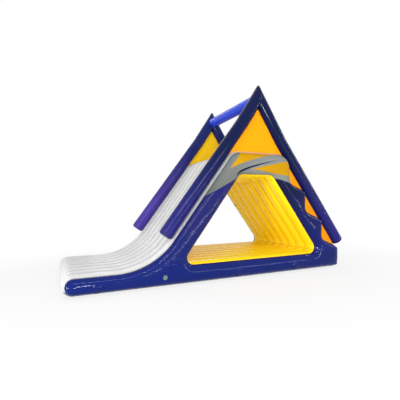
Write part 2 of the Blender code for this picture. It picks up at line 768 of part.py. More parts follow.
def make_inflation_valve(panel):
    """The inflation valve in the near side of the base: body, sprung stem and cap."""
    pairs = paired(*side_edges()["base"])
    before = max((p for p in pairs if (p[0][0] + p[1][0]) / 2 < VALVE_ALONG), key=lambda p: p[0][0] + p[1][0])
    point_low, out = side_point(*before, 3)
    point_high, _ = side_point(*before, 4)
    height = (point_low[1] + point_high[1]) / 2
    place = facing(at((VALVE_ALONG, height), -(SEAM + out)), (0, -1, 0))
    bored(panel, place, VALVE_NECK_RADIUS)
    top = GAP + VALVE_FLANGE_THICKNESS
    rim = top + VALVE_RIM_HEIGHT
    seat = VALVE_SEAT_THICKNESS - VALVE_DEPTH
    turned(
        "valve_body",
        [
            (VALVE_BORE_RADIUS, rim),
            (VALVE_NECK_RADIUS, rim),
            (VALVE_NECK_RADIUS, top),
            (VALVE_FLANGE_RADIUS - VALVE_FLANGE_EDGE, top),
            (VALVE_FLANGE_RADIUS, top - VALVE_FLANGE_EDGE),
            (VALVE_FLANGE_RADIUS, GAP),
            (VALVE_NECK_RADIUS, GAP),
            (VALVE_NECK_RADIUS, -VALVE_DEPTH),
            (VALVE_SEAT_RADIUS, -VALVE_DEPTH),
            (VALVE_SEAT_RADIUS, seat),
            (VALVE_BORE_RADIUS, seat),
        ],
        place,
        PLASTIC,
    )
    button = rim - VALVE_BUTTON_RECESS
    disc = -VALVE_DEPTH - GAP
    turned(
        "valve_stem",
        [
            (0, button),
            (VALVE_BUTTON_RADIUS, button),
            (VALVE_BUTTON_RADIUS, button - VALVE_BUTTON_THICKNESS),
            (VALVE_STEM_RADIUS, button - VALVE_BUTTON_THICKNESS),
            (VALVE_STEM_RADIUS, disc),
            (VALVE_SEAT_RADIUS + VALVE_DISC_LAP, disc),
            (VALVE_SEAT_RADIUS + VALVE_DISC_LAP, disc - VALVE_DISC_THICKNESS),
            (0, disc - VALVE_DISC_THICKNESS),
        ],
        place,
        PLASTIC,
        steps=12,
    )
    cap_in = VALVE_NECK_RADIUS + VALVE_CLEARANCE
    turned(
        "valve_cap",
        [
            (0, rim + GAP),
            (cap_in, rim + GAP),
            (cap_in, top + GAP),
            (VALVE_CAP_RADIUS, top + GAP),
            (VALVE_CAP_RADIUS, rim + GAP),
            (VALVE_CAP_RADIUS - VALVE_CAP_THICKNESS, rim + GAP + VALVE_CAP_THICKNESS),
            (0, rim + GAP + VALVE_CAP_THICKNESS),
        ],
        place,
        PLASTIC,
    )


def make_relief_valve(panel):
    """The relief valve in the opening's back wall, on the outermost rib of the far side."""
    foot, _ = INNER[INNER_SPANS[BACK_FOOT][1]]
    crest = meet(foot, STAIR_SLOPE, (0, RELIEF_HEIGHT), (1, 0))
    inward = Vector((-STAIR_NORMAL[0], 0, -STAIR_NORMAL[1]))
    height = lobe(HALF_WIDTH - RIB_PITCH / LINING_LOBE_SEGMENTS)
    place = facing(at(crest, HALF_WIDTH - RIB_PITCH / 2) + inward * height, inward)
    bored(panel, place, RELIEF_NECK_RADIUS)
    top = GAP + VALVE_FLANGE_THICKNESS
    turned(
        "relief_body",
        [
            (RELIEF_BORE_RADIUS, top),
            (RELIEF_FLANGE_RADIUS - VALVE_FLANGE_EDGE, top),
            (RELIEF_FLANGE_RADIUS, top - VALVE_FLANGE_EDGE),
            (RELIEF_FLANGE_RADIUS, GAP),
            (RELIEF_NECK_RADIUS, GAP),
            (RELIEF_NECK_RADIUS, -RELIEF_DEPTH),
            (RELIEF_BORE_RADIUS, -RELIEF_DEPTH),
        ],
        place,
        BLACK,
    )
    seat = top + GAP
    turned(
        "relief_poppet",
        [
            (0, seat + RELIEF_POPPET_THICKNESS),
            (RELIEF_POPPET_RADIUS - VALVE_FLANGE_EDGE, seat + RELIEF_POPPET_THICKNESS),
            (RELIEF_POPPET_RADIUS, seat),
            (VALVE_STEM_RADIUS, seat),
            (VALVE_STEM_RADIUS, -RELIEF_DEPTH - RELIEF_STEM_PAST),
            (0, -RELIEF_DEPTH - RELIEF_STEM_PAST),
        ],
        place,
        BLACK,
        steps=12,
    )


def make_anchor(number, along, side, low, high):
    """An anchor patch with its loop on the base's lower side, and the ring that hangs in the loop."""
    pair = (point_on(low, along), point_on(high, along))
    (_, z_low), out_low = side_point(*pair, 2)
    (_, z_high), out_high = side_point(*pair, 3)
    centre = at((along, (z_low + z_high) / 2), side * (SEAM + (out_low + out_high) / 2))
    outward = Vector((0, side * (z_high - z_low), -(out_high - out_low)))
    place = facing(centre, outward)
    lie = Matrix.Rotation(math.pi / 2, 4, "Y" if abs(place.to_3x3().col[0].x) > 0.9 else "X")
    barrel = GAP + PATCH_THICKNESS + LOOP_RADIUS * 0.8
    patch = cylinder(PATCH_RADIUS, PATCH_THICKNESS, Matrix.Translation((0, 0, GAP + PATCH_THICKNESS / 2)), 12)
    body = add(f"anchor_patch_{number}", patch, BLUE, place)
    bar = Matrix.Translation((0, 0, barrel)) @ lie
    loop = add(f"anchor_loop_{number}", cylinder(LOOP_RADIUS, LOOP_LENGTH, bar, 8), BLUE, place)
    bore = add(f"anchor_bore_{number}", cylinder(LOOP_BORE, LOOP_LENGTH * 1.2, bar, 8), BLUE, place)
    cut_by(body, as_cutter(loop), "UNION")
    cut_by(body, as_cutter(bore))
    pivot = place @ Vector((0, 0, barrel))
    curve = bpy.data.curves.new(f"anchor_ring_{number}", "CURVE")
    curve.dimensions = "3D"
    curve.bevel_depth = RING_WIRE
    curve.bevel_resolution = 1
    half = RING_WIDTH / 2
    bow = [(-half, 0)]
    for k in range(RING_PIECES + 1):
        angle = math.pi * k / RING_PIECES
        bow.append((-half * math.cos(angle), -(RING_REACH - half) - half * math.sin(angle)))
    bow.append((half, 0))
    spline = curve.splines.new("POLY")
    spline.points.add(len(bow) - 1)
    for point, (x, z) in zip(spline.points, bow):
        point.co = (x, 0, z, 1)
    spline.use_cyclic_u = True
    add(f"anchor_ring_{number}", curve, STEEL, Matrix.Translation(pivot))


def point_on(path, along):
    """The point of a side-view path at a distance along the length."""
    for a, b in zip(path, path[1:]):
        if a[0] <= along <= b[0] and b[0] > a[0]:
            share = (along - a[0]) / (b[0] - a[0])
            return (along, a[1] + (b[1] - a[1]) * share)
    return path[-1]


def make_anchors():
    low, high = side_edges()["base"]
    number = 1
    for side in (-1, 1):
        for along in ANCHOR_PLACES:
            make_anchor(number, along, side, low, high)
            number += 1


def build():
    for old in list(bpy.data.objects):
        bpy.data.objects.remove(old, do_unlink=True)
    make_decks()
    make_lining()
    make_sides()
    make_webs()
    make_frames()
    make_infills()
    make_inflation_valve(bpy.data.objects["near_base_side"])
    make_relief_valve(bpy.data.objects["opening_back_wall"])
    make_anchors()


build()
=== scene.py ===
"""Looks of an inflatable floating water slide: welded, air-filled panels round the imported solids.

Metres, +Z up. A point (u, z) of the side view lies u from the landing nose and z over the floor.
"""
import json
from math import acos, atan2, ceil, cos, dist, exp, hypot, pi, radians, remainder, sin, sqrt, tan

import bmesh
import bpy
import numpy
from mathutils import Matrix, Vector, noise


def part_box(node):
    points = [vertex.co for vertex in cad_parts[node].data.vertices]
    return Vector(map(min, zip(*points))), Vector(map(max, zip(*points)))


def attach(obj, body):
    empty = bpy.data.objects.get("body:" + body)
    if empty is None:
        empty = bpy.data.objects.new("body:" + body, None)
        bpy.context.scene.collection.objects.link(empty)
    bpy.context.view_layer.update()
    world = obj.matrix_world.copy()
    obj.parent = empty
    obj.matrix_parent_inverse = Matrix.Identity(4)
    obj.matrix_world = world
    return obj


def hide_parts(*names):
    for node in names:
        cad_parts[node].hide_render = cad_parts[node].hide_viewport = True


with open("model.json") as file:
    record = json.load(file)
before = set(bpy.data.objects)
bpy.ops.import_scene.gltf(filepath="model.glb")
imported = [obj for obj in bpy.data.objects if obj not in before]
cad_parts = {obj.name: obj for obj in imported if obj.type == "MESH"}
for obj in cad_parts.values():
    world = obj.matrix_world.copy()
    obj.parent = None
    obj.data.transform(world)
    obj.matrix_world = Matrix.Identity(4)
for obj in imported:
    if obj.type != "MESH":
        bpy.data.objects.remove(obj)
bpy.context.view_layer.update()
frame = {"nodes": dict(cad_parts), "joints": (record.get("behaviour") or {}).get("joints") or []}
NOSE_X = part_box("slide_deck")[0].x
JOINTS = {joint["name"]: joint for joint in frame["joints"]}
SCENE = bpy.context.scene

# Cloth, ribs and seams
WALL = 0.0009
GAP = 0.0003
RIB_COUNT = 8
RIB_PITCH = 0.335
RIB_HEIGHT = 0.05
HALF_WIDTH = RIB_COUNT * RIB_PITCH / 2
SEAM = HALF_WIDTH + GAP
SIDE_BULGE = 0.142
FULL_CHORD = 0.37
SIDE_GIRTH = 1.45
WELD_BAND = 0.012
WELD_EDGE = 0.004
AWAY_FROM_WELDS = 0.3
WEB_CLEARANCE = 0.004

# Waves and creases of the cloth; CREASES says how many in a metre, how deep and how long
PUCKER = 0.011
PUCKER_START = 0.012
PUCKER_REACH = 0.05
CREASES = ((7.0, 1.0, 0.09), (13.0, 0.7, 0.05), (27.0, 0.35, 0.03))
CREASE_START = 0.010
BAND_REACH = 0.03
FOLD_DRIFT = 0.012
UNEVENNESS = 0.006

# Steps of the meshes
SPACING = 0.03
TUBE_SPACING = 0.04
CORNER_STEPS = 6
LOBE_COLUMNS = 10
SIDE_COLUMNS = 22
TUBE_COLUMNS = 48
FOOT_ROWS = 8
CROSSBAR_ROWS = 60

# Side view of the air body
SLIDE_ANGLE = radians(52.9)
SLIDE_TOP = 3.56
PLATFORM_HEIGHT = 2.89
PLATFORM_END = 5.16
FOOT_HEIGHT = 0.40
NOSE_RADIUS = 0.2
SWEEP_RADIUS = 1.43
LIP_RADIUS = 0.35
PLATFORM_CORNER_RADIUS = 0.36
HEEL_RADIUS = 0.12
SLIDE_THICKNESS = 0.465
STAIR_THICKNESS = 0.60
SEAM_DROP = 0.044
SEAM_SHARE = 0.4
CAP_START_HEIGHT = 1.86
AIR_HOLE_RADIUS = 0.06

# Climbing steps
FIRST_VALLEY_HEIGHT = 2.20
FIRST_TREAD_RUN = 0.49
TREAD_RUN = 0.54
TREAD_FALL = 0.22
STEP_RUN = 0.52
LAST_CREST_HEIGHT = 0.56
VALLEY_RADIUS = 0.15
CREST_RADIUS = 0.13

# Opening under the platform
OPENING_FLOOR = 0.41
OPENING_TOP = 2.35
OPENING_FOOT_RADIUS = 0.153
OPENING_BACK_RADIUS = 0.20
OPENING_FRONT_RADIUS = 0.12

# Frame tubes, with the heights of each leg's foot and knee
FRAME_Y = 1.24
FRAME_RADIUS = 0.15
APEX = (4.32, 4.21)
FRONT_HEIGHTS = (1.03, 3.55)
BACK_HEIGHTS = (0.66, 3.15)
FOOT_ROUNDING = 0.04
FOOT_CROWN = 0.008
CROSSBAR_RADIUS = 0.138
CROSSBAR_DROP = 0.06

# Valves, anchor patches and rings
FLANGE_TOP = GAP + 0.004
FLANGE_EDGE = 0.002
VALVE_SEAT_RADIUS = 0.055
PATCH_SEAT_RADIUS = 0.045
SEAT_BLEND = 0.06
PATCH_RADIUS = 0.038
PATCH_DEPTH = 0.0047
PATCH_HEIGHT = 0.0775
SLEEVE_BORE = 0.0031
SLEEVE_RADIUS = 0.0056
SLEEVE_REACH = 0.014
RING_WIRE = 0.0026
RING_WIDTH = 0.042
RING_REACH = 0.036
WIRE_SIDES = 12
LYING = Matrix.Rotation(pi / 2, 4, "Y")

# Dirt, painted groove shade and weave of the coated cloth
WELD_WIDTH = 0.020
DIRT_REACH = 0.07
CREASE_REACH = 0.12
GROOVE_SHADE_REACH = 0.13
THREAD_TURNS = 3140.0


def unit(u, z):
    length = hypot(u, z)
    return (u / length, z / length)


def heading(a, b):
    """The direction from one point of the side view to another."""
    return unit(b[0] - a[0], b[1] - a[1])


def left_of(direction):
    return (-direction[1], direction[0])


def moved(point, direction, distance):
    return (point[0] + direction[0] * distance, point[1] + direction[1] * distance)


def raised(point, height):
    return (point[0], point[1] + height)


def blend(a, b, share):
    """The point at a share of the way from one point to another."""
    return (a[0] + (b[0] - a[0]) * share, a[1] + (b[1] - a[1]) * share)


def meet(point_a, direction_a, point_b, direction_b):
    """Where two lines of the side view cross."""
    cross = direction_a[0] * direction_b[1] - direction_a[1] * direction_b[0]
    du = point_b[0] - point_a[0]
    dz = point_b[1] - point_a[1]
    return moved(point_a, direction_a, (du * direction_b[1] - dz * direction_b[0]) / cross)


def rounded(corners):
    """Close stations (point, outward normal) round a closed outline, and each corner's first and last one."""
    stations = []
    spans = []

    def straight_to(point, normal):
        start = stations[-1][0]
        count = ceil(dist(start, point) / SPACING)
        for i in range(1, count):
            stations.append((blend(start, point, i / count), normal))

    for k, (u, z, radius) in enumerate(corners):
        come = heading(corners[k - 1], (u, z))
        leave = heading((u, z), corners[(k + 1) % len(corners)])
        turn = atan2(come[0] * leave[1] - come[1] * leave[0], come[0] * leave[0] + come[1] * leave[1])
        side = 1 if turn > 0 else -1
        start = moved((u, z), come, -radius * tan(abs(turn) / 2))
        centre = moved(start, left_of(come), side * radius)
        pieces = max(CORNER_STEPS, ceil(abs(turn) * radius / SPACING))
        if stations and dist(stations[-1][0], start) > GAP:
            straight_to(start, left_of(come))
        first = len(stations)
        for i in range(pieces + 1):
            angle = turn * i / pieces
            normal = (
                -come[1] * cos(angle) - come[0] * sin(angle),
                come[0] * cos(angle) - come[1] * sin(angle),
            )
            point = moved(centre, normal, -side * radius)
            if stations and dist(stations[-1][0], point) < GAP:
                first = len(stations) - 1
                continue
            stations.append((point, normal))
        spans.append((first, len(stations) - 1))
    straight_to(*stations[0])
    return stations, spans


def lobe(across):
    """Height of the cloth over the rib grooves at a distance across the width."""
    radius = (RIB_PITCH**2 / 4 + RIB_HEIGHT**2) / (2 * RIB_HEIGHT)
    off = (across + HALF_WIDTH) % RIB_PITCH - RIB_PITCH / 2
    return sqrt(radius**2 - off**2) - (radius - RIB_HEIGHT)


def middle(span):
    return (span[0] + span[1]) // 2


def run(stations, first, last):
    """The stations from one to another, past the end of the list where need be."""
    if last < first:
        return stations[first:] + stations[: last + 1]
    return stations[first : last + 1]


def at(point, across):
    return Vector((point[0] + NOSE_X, across, point[1]))


# Outlines, in the side view
SLIDE_SLOPE = (cos(SLIDE_ANGLE), sin(SLIDE_ANGLE))
SLIDE_NORMAL = left_of(SLIDE_SLOPE)
SLIDE_HEAD = (SLIDE_TOP, PLATFORM_HEIGHT)


def step_corners():
    """The valleys and crests of the steps from the platform down, and the slope of the stair."""
    fall = FIRST_TREAD_RUN * TREAD_FALL / TREAD_RUN
    crest = (PLATFORM_END + FIRST_TREAD_RUN, FIRST_VALLEY_HEIGHT - fall)
    rise = (crest[1] - LAST_CREST_HEIGHT) / 2
    corners = [(PLATFORM_END, FIRST_VALLEY_HEIGHT, VALLEY_RADIUS), (*crest, CREST_RADIUS)]
    for _ in range(2):
        crest = (crest[0] + STEP_RUN, crest[1] - rise)
        corners += [(crest[0] - TREAD_RUN, crest[1] + TREAD_FALL, VALLEY_RADIUS), (*crest, CREST_RADIUS)]
    return corners, unit(STEP_RUN, -rise)


def stair_height(point):
    """How far a point of the side view stands out along the stair's normal."""
    return point[0] * STAIR_NORMAL[0] + point[1] * STAIR_NORMAL[1]


STEPS, STAIR_SLOPE = step_corners()
STAIR_NORMAL = left_of(STAIR_SLOPE)
OUTER, OUTER_SPANS = rounded(
    [
        (0, 0, NOSE_RADIUS),
        (0, FOOT_HEIGHT, NOSE_RADIUS),
        (*meet((0, FOOT_HEIGHT), (1, 0), SLIDE_HEAD, SLIDE_SLOPE), SWEEP_RADIUS),
        (*SLIDE_HEAD, LIP_RADIUS),
        (PLATFORM_END, PLATFORM_HEIGHT, PLATFORM_CORNER_RADIUS),
        *STEPS,
        (STEPS[-1][0], 0, HEEL_RADIUS),
    ]
)
NOSE_LOW, NOSE_HIGH, SWEEP, LIP, PLATFORM_CORNER, FIRST_VALLEY, FIRST_CREST = range(7)
LAST_CREST = len(OUTER_SPANS) - 2
HEEL = LAST_CREST + 1
CRESTS = (PLATFORM_CORNER, FIRST_CREST, FIRST_CREST + 2, LAST_CREST)
STAIR_REACH = max(stair_height(point) for point, _ in OUTER)


def opening_corners():
    """The opening's four corners at the level of its seams."""
    front = (moved(SLIDE_HEAD, SLIDE_NORMAL, -SLIDE_THICKNESS), SLIDE_SLOPE)
    back = (moved((0, 0), STAIR_NORMAL, STAIR_REACH - STAIR_THICKNESS), STAIR_SLOPE)
    floor = ((0, OPENING_FLOOR), (1, 0))
    top = ((0, OPENING_TOP), (1, 0))
    return [
        (*meet(*floor, *front), OPENING_FOOT_RADIUS),
        (*meet(*floor, *back), OPENING_FOOT_RADIUS),
        (*meet(*top, *back), OPENING_BACK_RADIUS),
        (*meet(*top, *front), OPENING_FRONT_RADIUS),
    ]


INNER, INNER_SPANS = rounded(opening_corners())
FRONT_FOOT, BACK_FOOT, BACK_TOP, FRONT_TOP = range(4)


def maths(operation, reflected=False):
    """A method that adds a Math node."""

    def method(value, *others):
        numbers = (*others, value) if reflected else (value, *others)
        return value.finish.node("Math", {"operation": operation}, numbers)

    return method


class Value:
    """A number or colour that varies over a surface; arithmetic on it adds Math nodes."""

    def __init__(self, finish, socket):
        self.finish = finish
        self.socket = socket

    __add__ = __radd__ = maths("ADD")
    __mul__ = __rmul__ = maths("MULTIPLY")
    __sub__ = maths("SUBTRACT")
    __rsub__ = maths("SUBTRACT", reflected=True)
    __truediv__ = maths("DIVIDE")
    __pow__ = maths("POWER")
    sine = maths("SINE")
    larger = maths("MAXIMUM")

    def clamped(self):
        return self.finish.node("Clamp", {}, (self,))


class Finish:
    """The nodes of a material, or of the world, under construction."""

    def __init__(self, owner, end="OutputMaterial"):
        owner.use_nodes = True
        self.owner = owner
        self.tree = owner.node_tree
        self.tree.nodes.clear()
        self.end = self.tree.nodes.new("ShaderNode" + end)

    def feed(self, socket, value):
        if isinstance(value, Value):
            self.tree.links.new(value.socket, socket)
        elif socket.type == "RGBA":
            socket.default_value = (*value, 1)
        else:
            socket.default_value = value

    def node(self, kind, settings, inputs, output=0):
        made = self.tree.nodes.new("ShaderNode" + kind)
        for name, value in settings.items():
            setattr(made, name, value)
        pairs = inputs.items() if isinstance(inputs, dict) else enumerate(inputs)
        for key, value in pairs:
            self.feed(made.inputs[key], value)
        return Value(self, made.outputs[output])

    def show(self, kind, inputs):
        """Ends the construction with the last shader."""
        self.feed(self.end.inputs["Surface"], self.node(kind, {}, inputs))
        return self.owner

    def object_point(self):
        return self.node("TexCoord", {}, (), "Object")

    def noise(self, point, scale, detail):
        return self.node("TexNoise", {}, {"Vector": point, "Scale": scale, "Detail": detail})

    def stretched_noise(self, point, across, along, detail):
        stretched = self.node("Mapping", {}, {"Vector": point, "Scale": (across, along, 1.0)})
        return self.noise(stretched, 1.0, detail)

    def mix(self, factor, a, b):
        """Two colours mixed: the node's sockets 6 and 7, and its output 2."""
        return self.node("Mix", {"data_type": "RGBA"}, {0: factor, 6: a, 7: b}, 2)

    def parts(self, point):
        return [self.node("SeparateXYZ", {}, (point,), k) for k in range(3)]

    def bump(self, height, strength, distance, **normal):
        inputs = {"Height": height, "Strength": strength, "Distance": distance, **normal}
        return self.node("Bump", {}, inputs)


def shade(colour, factor):
    return tuple(min(1.0, c * factor) for c in colour)


def mottled(finish, colour):
    """A dye that is a little uneven over a metre or so."""
    patches = finish.noise(finish.object_point(), 1.7, 4.0)
    return finish.mix(patches, shade(colour, 0.92), shade(colour, 1.08))


def beside(seam, reach):
    """1 on a weld, falling to 0 at a distance from it."""
    return (1 - seam / reach).clamped()


def cloth_surface(finish, tone, roughness, specular, grime, tint, deep=None, painted_groove_shade=0):
    """Coated cloth: weld bands, partly painted shade, with dirt and painted groove shade beside them in a
    deeper colour, small creases and weave.
    """
    flat = finish.node("UVMap", {"uv_map": "cloth"}, ())
    seam = finish.node("Attribute", {"attribute_name": "seam"}, (), "Fac")
    mottle = finish.noise(finish.object_point(), 1.7, 4.0)
    smear = finish.stretched_noise(flat, 3.0, 14.0, 3.0)
    weld = (beside(seam, WELD_WIDTH) * 6).clamped()
    dirt = beside(seam, DIRT_REACH) ** 2 * smear * grime
    # Painted shade in the rib grooves, broad beside each weld
    groove_shade = beside(seam, GROOVE_SHADE_REACH) ** 1.5 * painted_groove_shade
    dirt_and_shade_tone = finish.mix(0.72, tone, deep or (0.03, 0.03, 0.035))
    # The tint darkens weld bands: a darker weld, and where welds lie in rib grooves also painted shade
    tone = finish.mix((weld * tint + dirt + groove_shade).clamped(), tone, dirt_and_shade_tone)
    creases = finish.stretched_noise(flat, 22.0, 5.0, 2.0) * (beside(seam, CREASE_REACH) + 0.12)
    ripple = finish.stretched_noise(flat, 4.0, 4.0, 3.0)
    u, v, _ = finish.parts(flat)
    weave = (u * THREAD_TURNS).sine() * (v * THREAD_TURNS).sine()
    soft = finish.bump(creases + ripple * 0.6, 0.5, 0.02)
    banded = finish.bump(weld, 0.5, 0.0012, Normal=soft)
    inputs = {
        "Base Color": tone,
        "Roughness": roughness + (mottle - 0.5) * 0.08 + dirt * 0.3,
        "Specular IOR Level": specular,
        "Normal": finish.bump(weave, 0.02, 0.0002, Normal=banded),
    }
    return finish.show("BsdfPrincipled", inputs)


def coated(name, colour, roughness=0.1, specular=0.13, grime=0.35, tint=0.2, below=(), deep=None, painted_groove_shade=0):
    """Coated cloth of one colour, or with another one below a height, over a blend of some depth."""
    finish = Finish(bpy.data.materials.new(name))
    tone = mottled(finish, colour)
    if below:
        other, height, depth = below
        z = finish.parts(finish.object_point())[2]
        tone = finish.mix(((z - height) / depth + 0.5).clamped(), mottled(finish, other), tone)
    return cloth_surface(finish, tone, roughness, specular, grime, tint, deep, painted_groove_shade)


def between(value, low, high, soft):
    """1 where a value lies between two others, with soft edges."""
    return ((value - low) / soft).clamped() * ((high - value) / soft).clamped()


def striped_cloth(name, colour, stripe, line):
    """The pale side cap, grey with painted shade, with two plain tapering stripes and a thin dark line
    between them.
    """
    finish = Finish(bpy.data.materials.new(name))
    x, _, z = finish.parts(finish.object_point())
    u = x - NOSE_X
    upper_start, lower_start, line_start, line_length = 3.45, 3.96, 3.62, 1.22
    shade_start, shade_length = 2.9, 1.3
    edge = 0.012
    # The upper stripe rises from the slide's side and runs out along the top
    along = u - upper_start
    underside = 2.47 + along * 0.438 - along * along * 0.1245
    upper = between(z, underside, 2.50 + along * 1.247, edge)
    # The lower stripe widens towards the steps
    along = u - lower_start
    lower = between(z, 2.473 - along * 0.15, 2.473 + along * 0.205, edge)
    # The line curves upwards and gets thinner
    rise = ((u - line_start) / line_length).clamped()
    spine = 2.335 + 0.385 * rise**0.62
    half = (1.08 - rise) * 0.030
    ends = between(u, line_start - 0.03, line_start + line_length, 0.02)
    thin = between(z, spine - half, spine + half, 0.008) * ends
    # Painted shade: the cap darkens to half its tone towards the slide
    lit = ((u - shade_start) / shade_length).clamped()
    tone = finish.mix(lit, shade(colour, 0.5), mottled(finish, colour))
    tone = finish.mix((upper + lower).clamped(), tone, stripe)
    tone = finish.mix(thin, tone, line)
    return cloth_surface(finish, tone, roughness=0.30, specular=0.06, grime=0.25, tint=0.2)


def moulded(name, colour, roughness, metallic=0.0):
    """Moulded plastic or polished wire, with handling marks."""
    finish = Finish(bpy.data.materials.new(name))
    point = finish.object_point()
    grain = finish.noise(point, 720.0, 2.0)
    marks = finish.noise(point, 60.0, 4.0)
    inputs = {
        "Base Color": finish.mix(marks, shade(colour, 0.88), shade(colour, 1.08)),
        "Roughness": roughness + (marks - 0.5) * 0.2,
        "Metallic": metallic,
        "Normal": finish.bump(grain, 0.2, 0.0002),
    }
    return finish.show("BsdfPrincipled", inputs)


DARK_BLUE = (0.002, 0.010, 0.115)
NAVY = coated("navy_coated_cloth", DARK_BLUE, specular=0.16)
# The side panels, steps and frame tubes are all one navy cloth: their darker and lighter tones, and their
# change of tone with height, are painted shade and painted reflection
LEG_NAVY = coated("leg_coated_cloth", (0.009, 0.011, 0.10), specular=0.16, below=(DARK_BLUE, 0.8, 0.9))
STEP_NAVY = coated("step_coated_cloth", (0.003, 0.006, 0.042), below=((0.006, 0.012, 0.15), 1.1, 1.8))
# The near frame's tubes are painted darker as shade, and the far frame's lighter and more violet as painted
# light
NEAR_TUBE_SHADED_NAVY = coated("near_tube_painted_shade_cloth", (0.002, 0.006, 0.045), below=((0.016, 0.015, 0.15), 1.9, 1.8))
FAR_TUBE_LIT_NAVY = coated("far_tube_painted_light_cloth", (0.008, 0.015, 0.11), below=((0.055, 0.036, 0.26), 2.4, 1.8))
ROYAL = coated("royal_coated_cloth", (0.012, 0.050, 0.62), roughness=0.12, specular=0.24)
# The deck and lining get painted shade in their rib grooves, and darker weld bands that are also painted
# shade there
DECK = {"roughness": 0.30, "specular": 0.30, "grime": 0.45, "tint": 0.75, "painted_groove_shade": 0.42}
WHITE = coated("white_coated_cloth", (0.65, 0.65, 0.645), below=(DARK_BLUE, 0.12, 0.006), **DECK)
LINING = {"roughness": 0.18, "specular": 0.20, "grime": 0.5, "tint": 0.5, "painted_groove_shade": 0.15}
YELLOW = coated("yellow_coated_cloth", (1.0, 0.72, 0.014), deep=(1.0, 0.46, 0.004), **LINING)
DULL = {"roughness": 0.45, "specular": 0.08, "grime": 0.2}
AMBER = coated("amber_coated_cloth", (1.0, 0.32, 0.002), deep=(0.8, 0.30, 0.004), **DULL)
# The far infill is the same amber cloth, painted lighter to make up for the shade it lies in
LIT_FAR_AMBER = coated("far_amber_painted_light_cloth", (1.0, 0.58, 0.010), deep=(0.9, 0.40, 0.004), **DULL)
# The cap is white cloth: its grey tone is painted shade, and its stripes are a yellow print darkened to
# mustard as painted shade
PALE = striped_cloth("pale_striped_cloth", (0.19, 0.205, 0.195), (0.46, 0.24, 0.002), (0.006, 0.006, 0.030))
WEB = coated("web_cloth", (0.60, 0.60, 0.58), roughness=0.6, specular=0.2)
PLASTIC = moulded("valve_plastic", (0.10, 0.14, 0.13), 0.38)
BLACK = moulded("relief_plastic", (0.02, 0.02, 0.022), 0.45)
STEEL = moulded("ring_steel", (0.06, 0.065, 0.12), 0.45, metallic=1.0)


def wavering(along, seed, distance):
    """How far the cloth draws in beside a weld, at a distance from it."""
    wave = noise.noise(Vector((along * 9.0, seed * 7.3, 0.0)))
    wave += 0.5 * noise.noise(Vector((along * 22.0, seed * 3.1, 5.0)))
    held = 1 - exp(-distance / PUCKER_START)
    return PUCKER * wave * held * exp(-distance / PUCKER_REACH)


def gathered(along, seed, distance):
    """The creases that run away from a curved weld: deep beside it, and dying out over a hand's width."""
    depth = 0
    for count, size, reach in CREASES:
        spot = Vector((along * count, seed * 7.3 + count, distance * 3.0))
        crease = max(0.0, 1 - 2.6 * abs(noise.noise(spot))) ** 2
        depth += size * crease * exp(-distance / reach)
    return PUCKER * depth * (1 - exp(-distance / CREASE_START))


def skin(name, finish, rows, columns, place, flipped=False, closed=False):
    """A grid of cloth; place(i, j) gives a corner's point, its distance to a weld and its flat place."""
    cloth = bmesh.new()
    bmesh.ops.create_grid(cloth, x_segments=rows, y_segments=columns, size=1)
    seam = cloth.verts.layers.float.new("seam")
    flat = cloth.loops.layers.uv.new("cloth")
    laid = {}
    for corner in cloth.verts:
        i = round((corner.co.x + 1) / 2 * rows)
        j = round((corner.co.y + 1) / 2 * columns)
        corner.co, corner[seam], laid[corner] = place(i, j)
    for face in cloth.faces:
        for loop in face.loops:
            loop[flat].uv = laid[loop.vert]
    bmesh.ops.remove_doubles(cloth, verts=cloth.verts, dist=1e-5)
    if flipped:
        bmesh.ops.reverse_faces(cloth, faces=cloth.faces)
    if closed:
        bmesh.ops.recalc_face_normals(cloth, faces=cloth.faces)
    return finished(name, cloth, finish)


def finished(name, mesh, finish, wall=WALL):
    """A mesh as an object in the scene, with the cloth's wall or none."""
    data = bpy.data.meshes.new(name)
    mesh.to_mesh(data)
    mesh.free()
    data.shade_smooth()
    data.materials.append(finish)
    piece = bpy.data.objects.new(name, data)
    SCENE.collection.objects.link(piece)
    if wall:
        thick = piece.modifiers.new("Wall", "SOLIDIFY")
        thick.thickness = wall
        thick.offset = -1
    return piece


def stands_for(piece, node, body="float"):
    """The piece takes the place of a solid of the same body."""
    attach(piece, body)
    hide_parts(node)


def lengths(path):
    """The way along a path at each of its points."""
    total = [0.0]
    for a, b in zip(path, path[1:]):
        total.append(total[-1] + dist(a, b))
    return total


def ribbed(node, stations, finish, level=-RIB_HEIGHT, folds=()):
    """A panel across the width with a lobe over each air chamber, drawn in at welds and pinched at folds."""
    marks = lengths([point for point, _ in stations])
    total = marks[-1]
    seed = sum(map(ord, node)) % 37

    def place(i, j):
        point, normal = stations[i]
        along = marks[i]
        across = -HALF_WIDTH + RIB_PITCH * j / LOBE_COLUMNS
        rib, column = divmod(j, LOBE_COLUMNS)
        to_groove = RIB_PITCH * min(column, LOBE_COLUMNS - column) / LOBE_COLUMNS
        to_end = min(along, total - along)
        rise = lobe(across) if column else 0.0
        for where, depth, width in folds:
            drift = FOLD_DRIFT * noise.noise(Vector((rib * 3.7, where, seed)))
            rise *= 1 - depth * exp(-(((along - where - drift) / width) ** 2))
        height = level + rise - abs(wavering(along, seed + rib + 0.5, to_groove))
        seam = min(to_groove + WELD_EDGE, to_end + WELD_BAND)
        return at(moved(point, normal, height), across), seam, (along, across)

    piece = skin("cloth_" + node, finish, len(stations) - 1, RIB_COUNT * LOBE_COLUMNS, place)
    stands_for(piece, node)


def spaced(path):
    """The path with further points along its long steps."""
    points = path[:1]
    for a, b in zip(path, path[1:]):
        count = ceil(dist(a, b) / (2 * SPACING))
        points += [blend(a, b, k / count) for k in range(1, count + 1)]
    return points


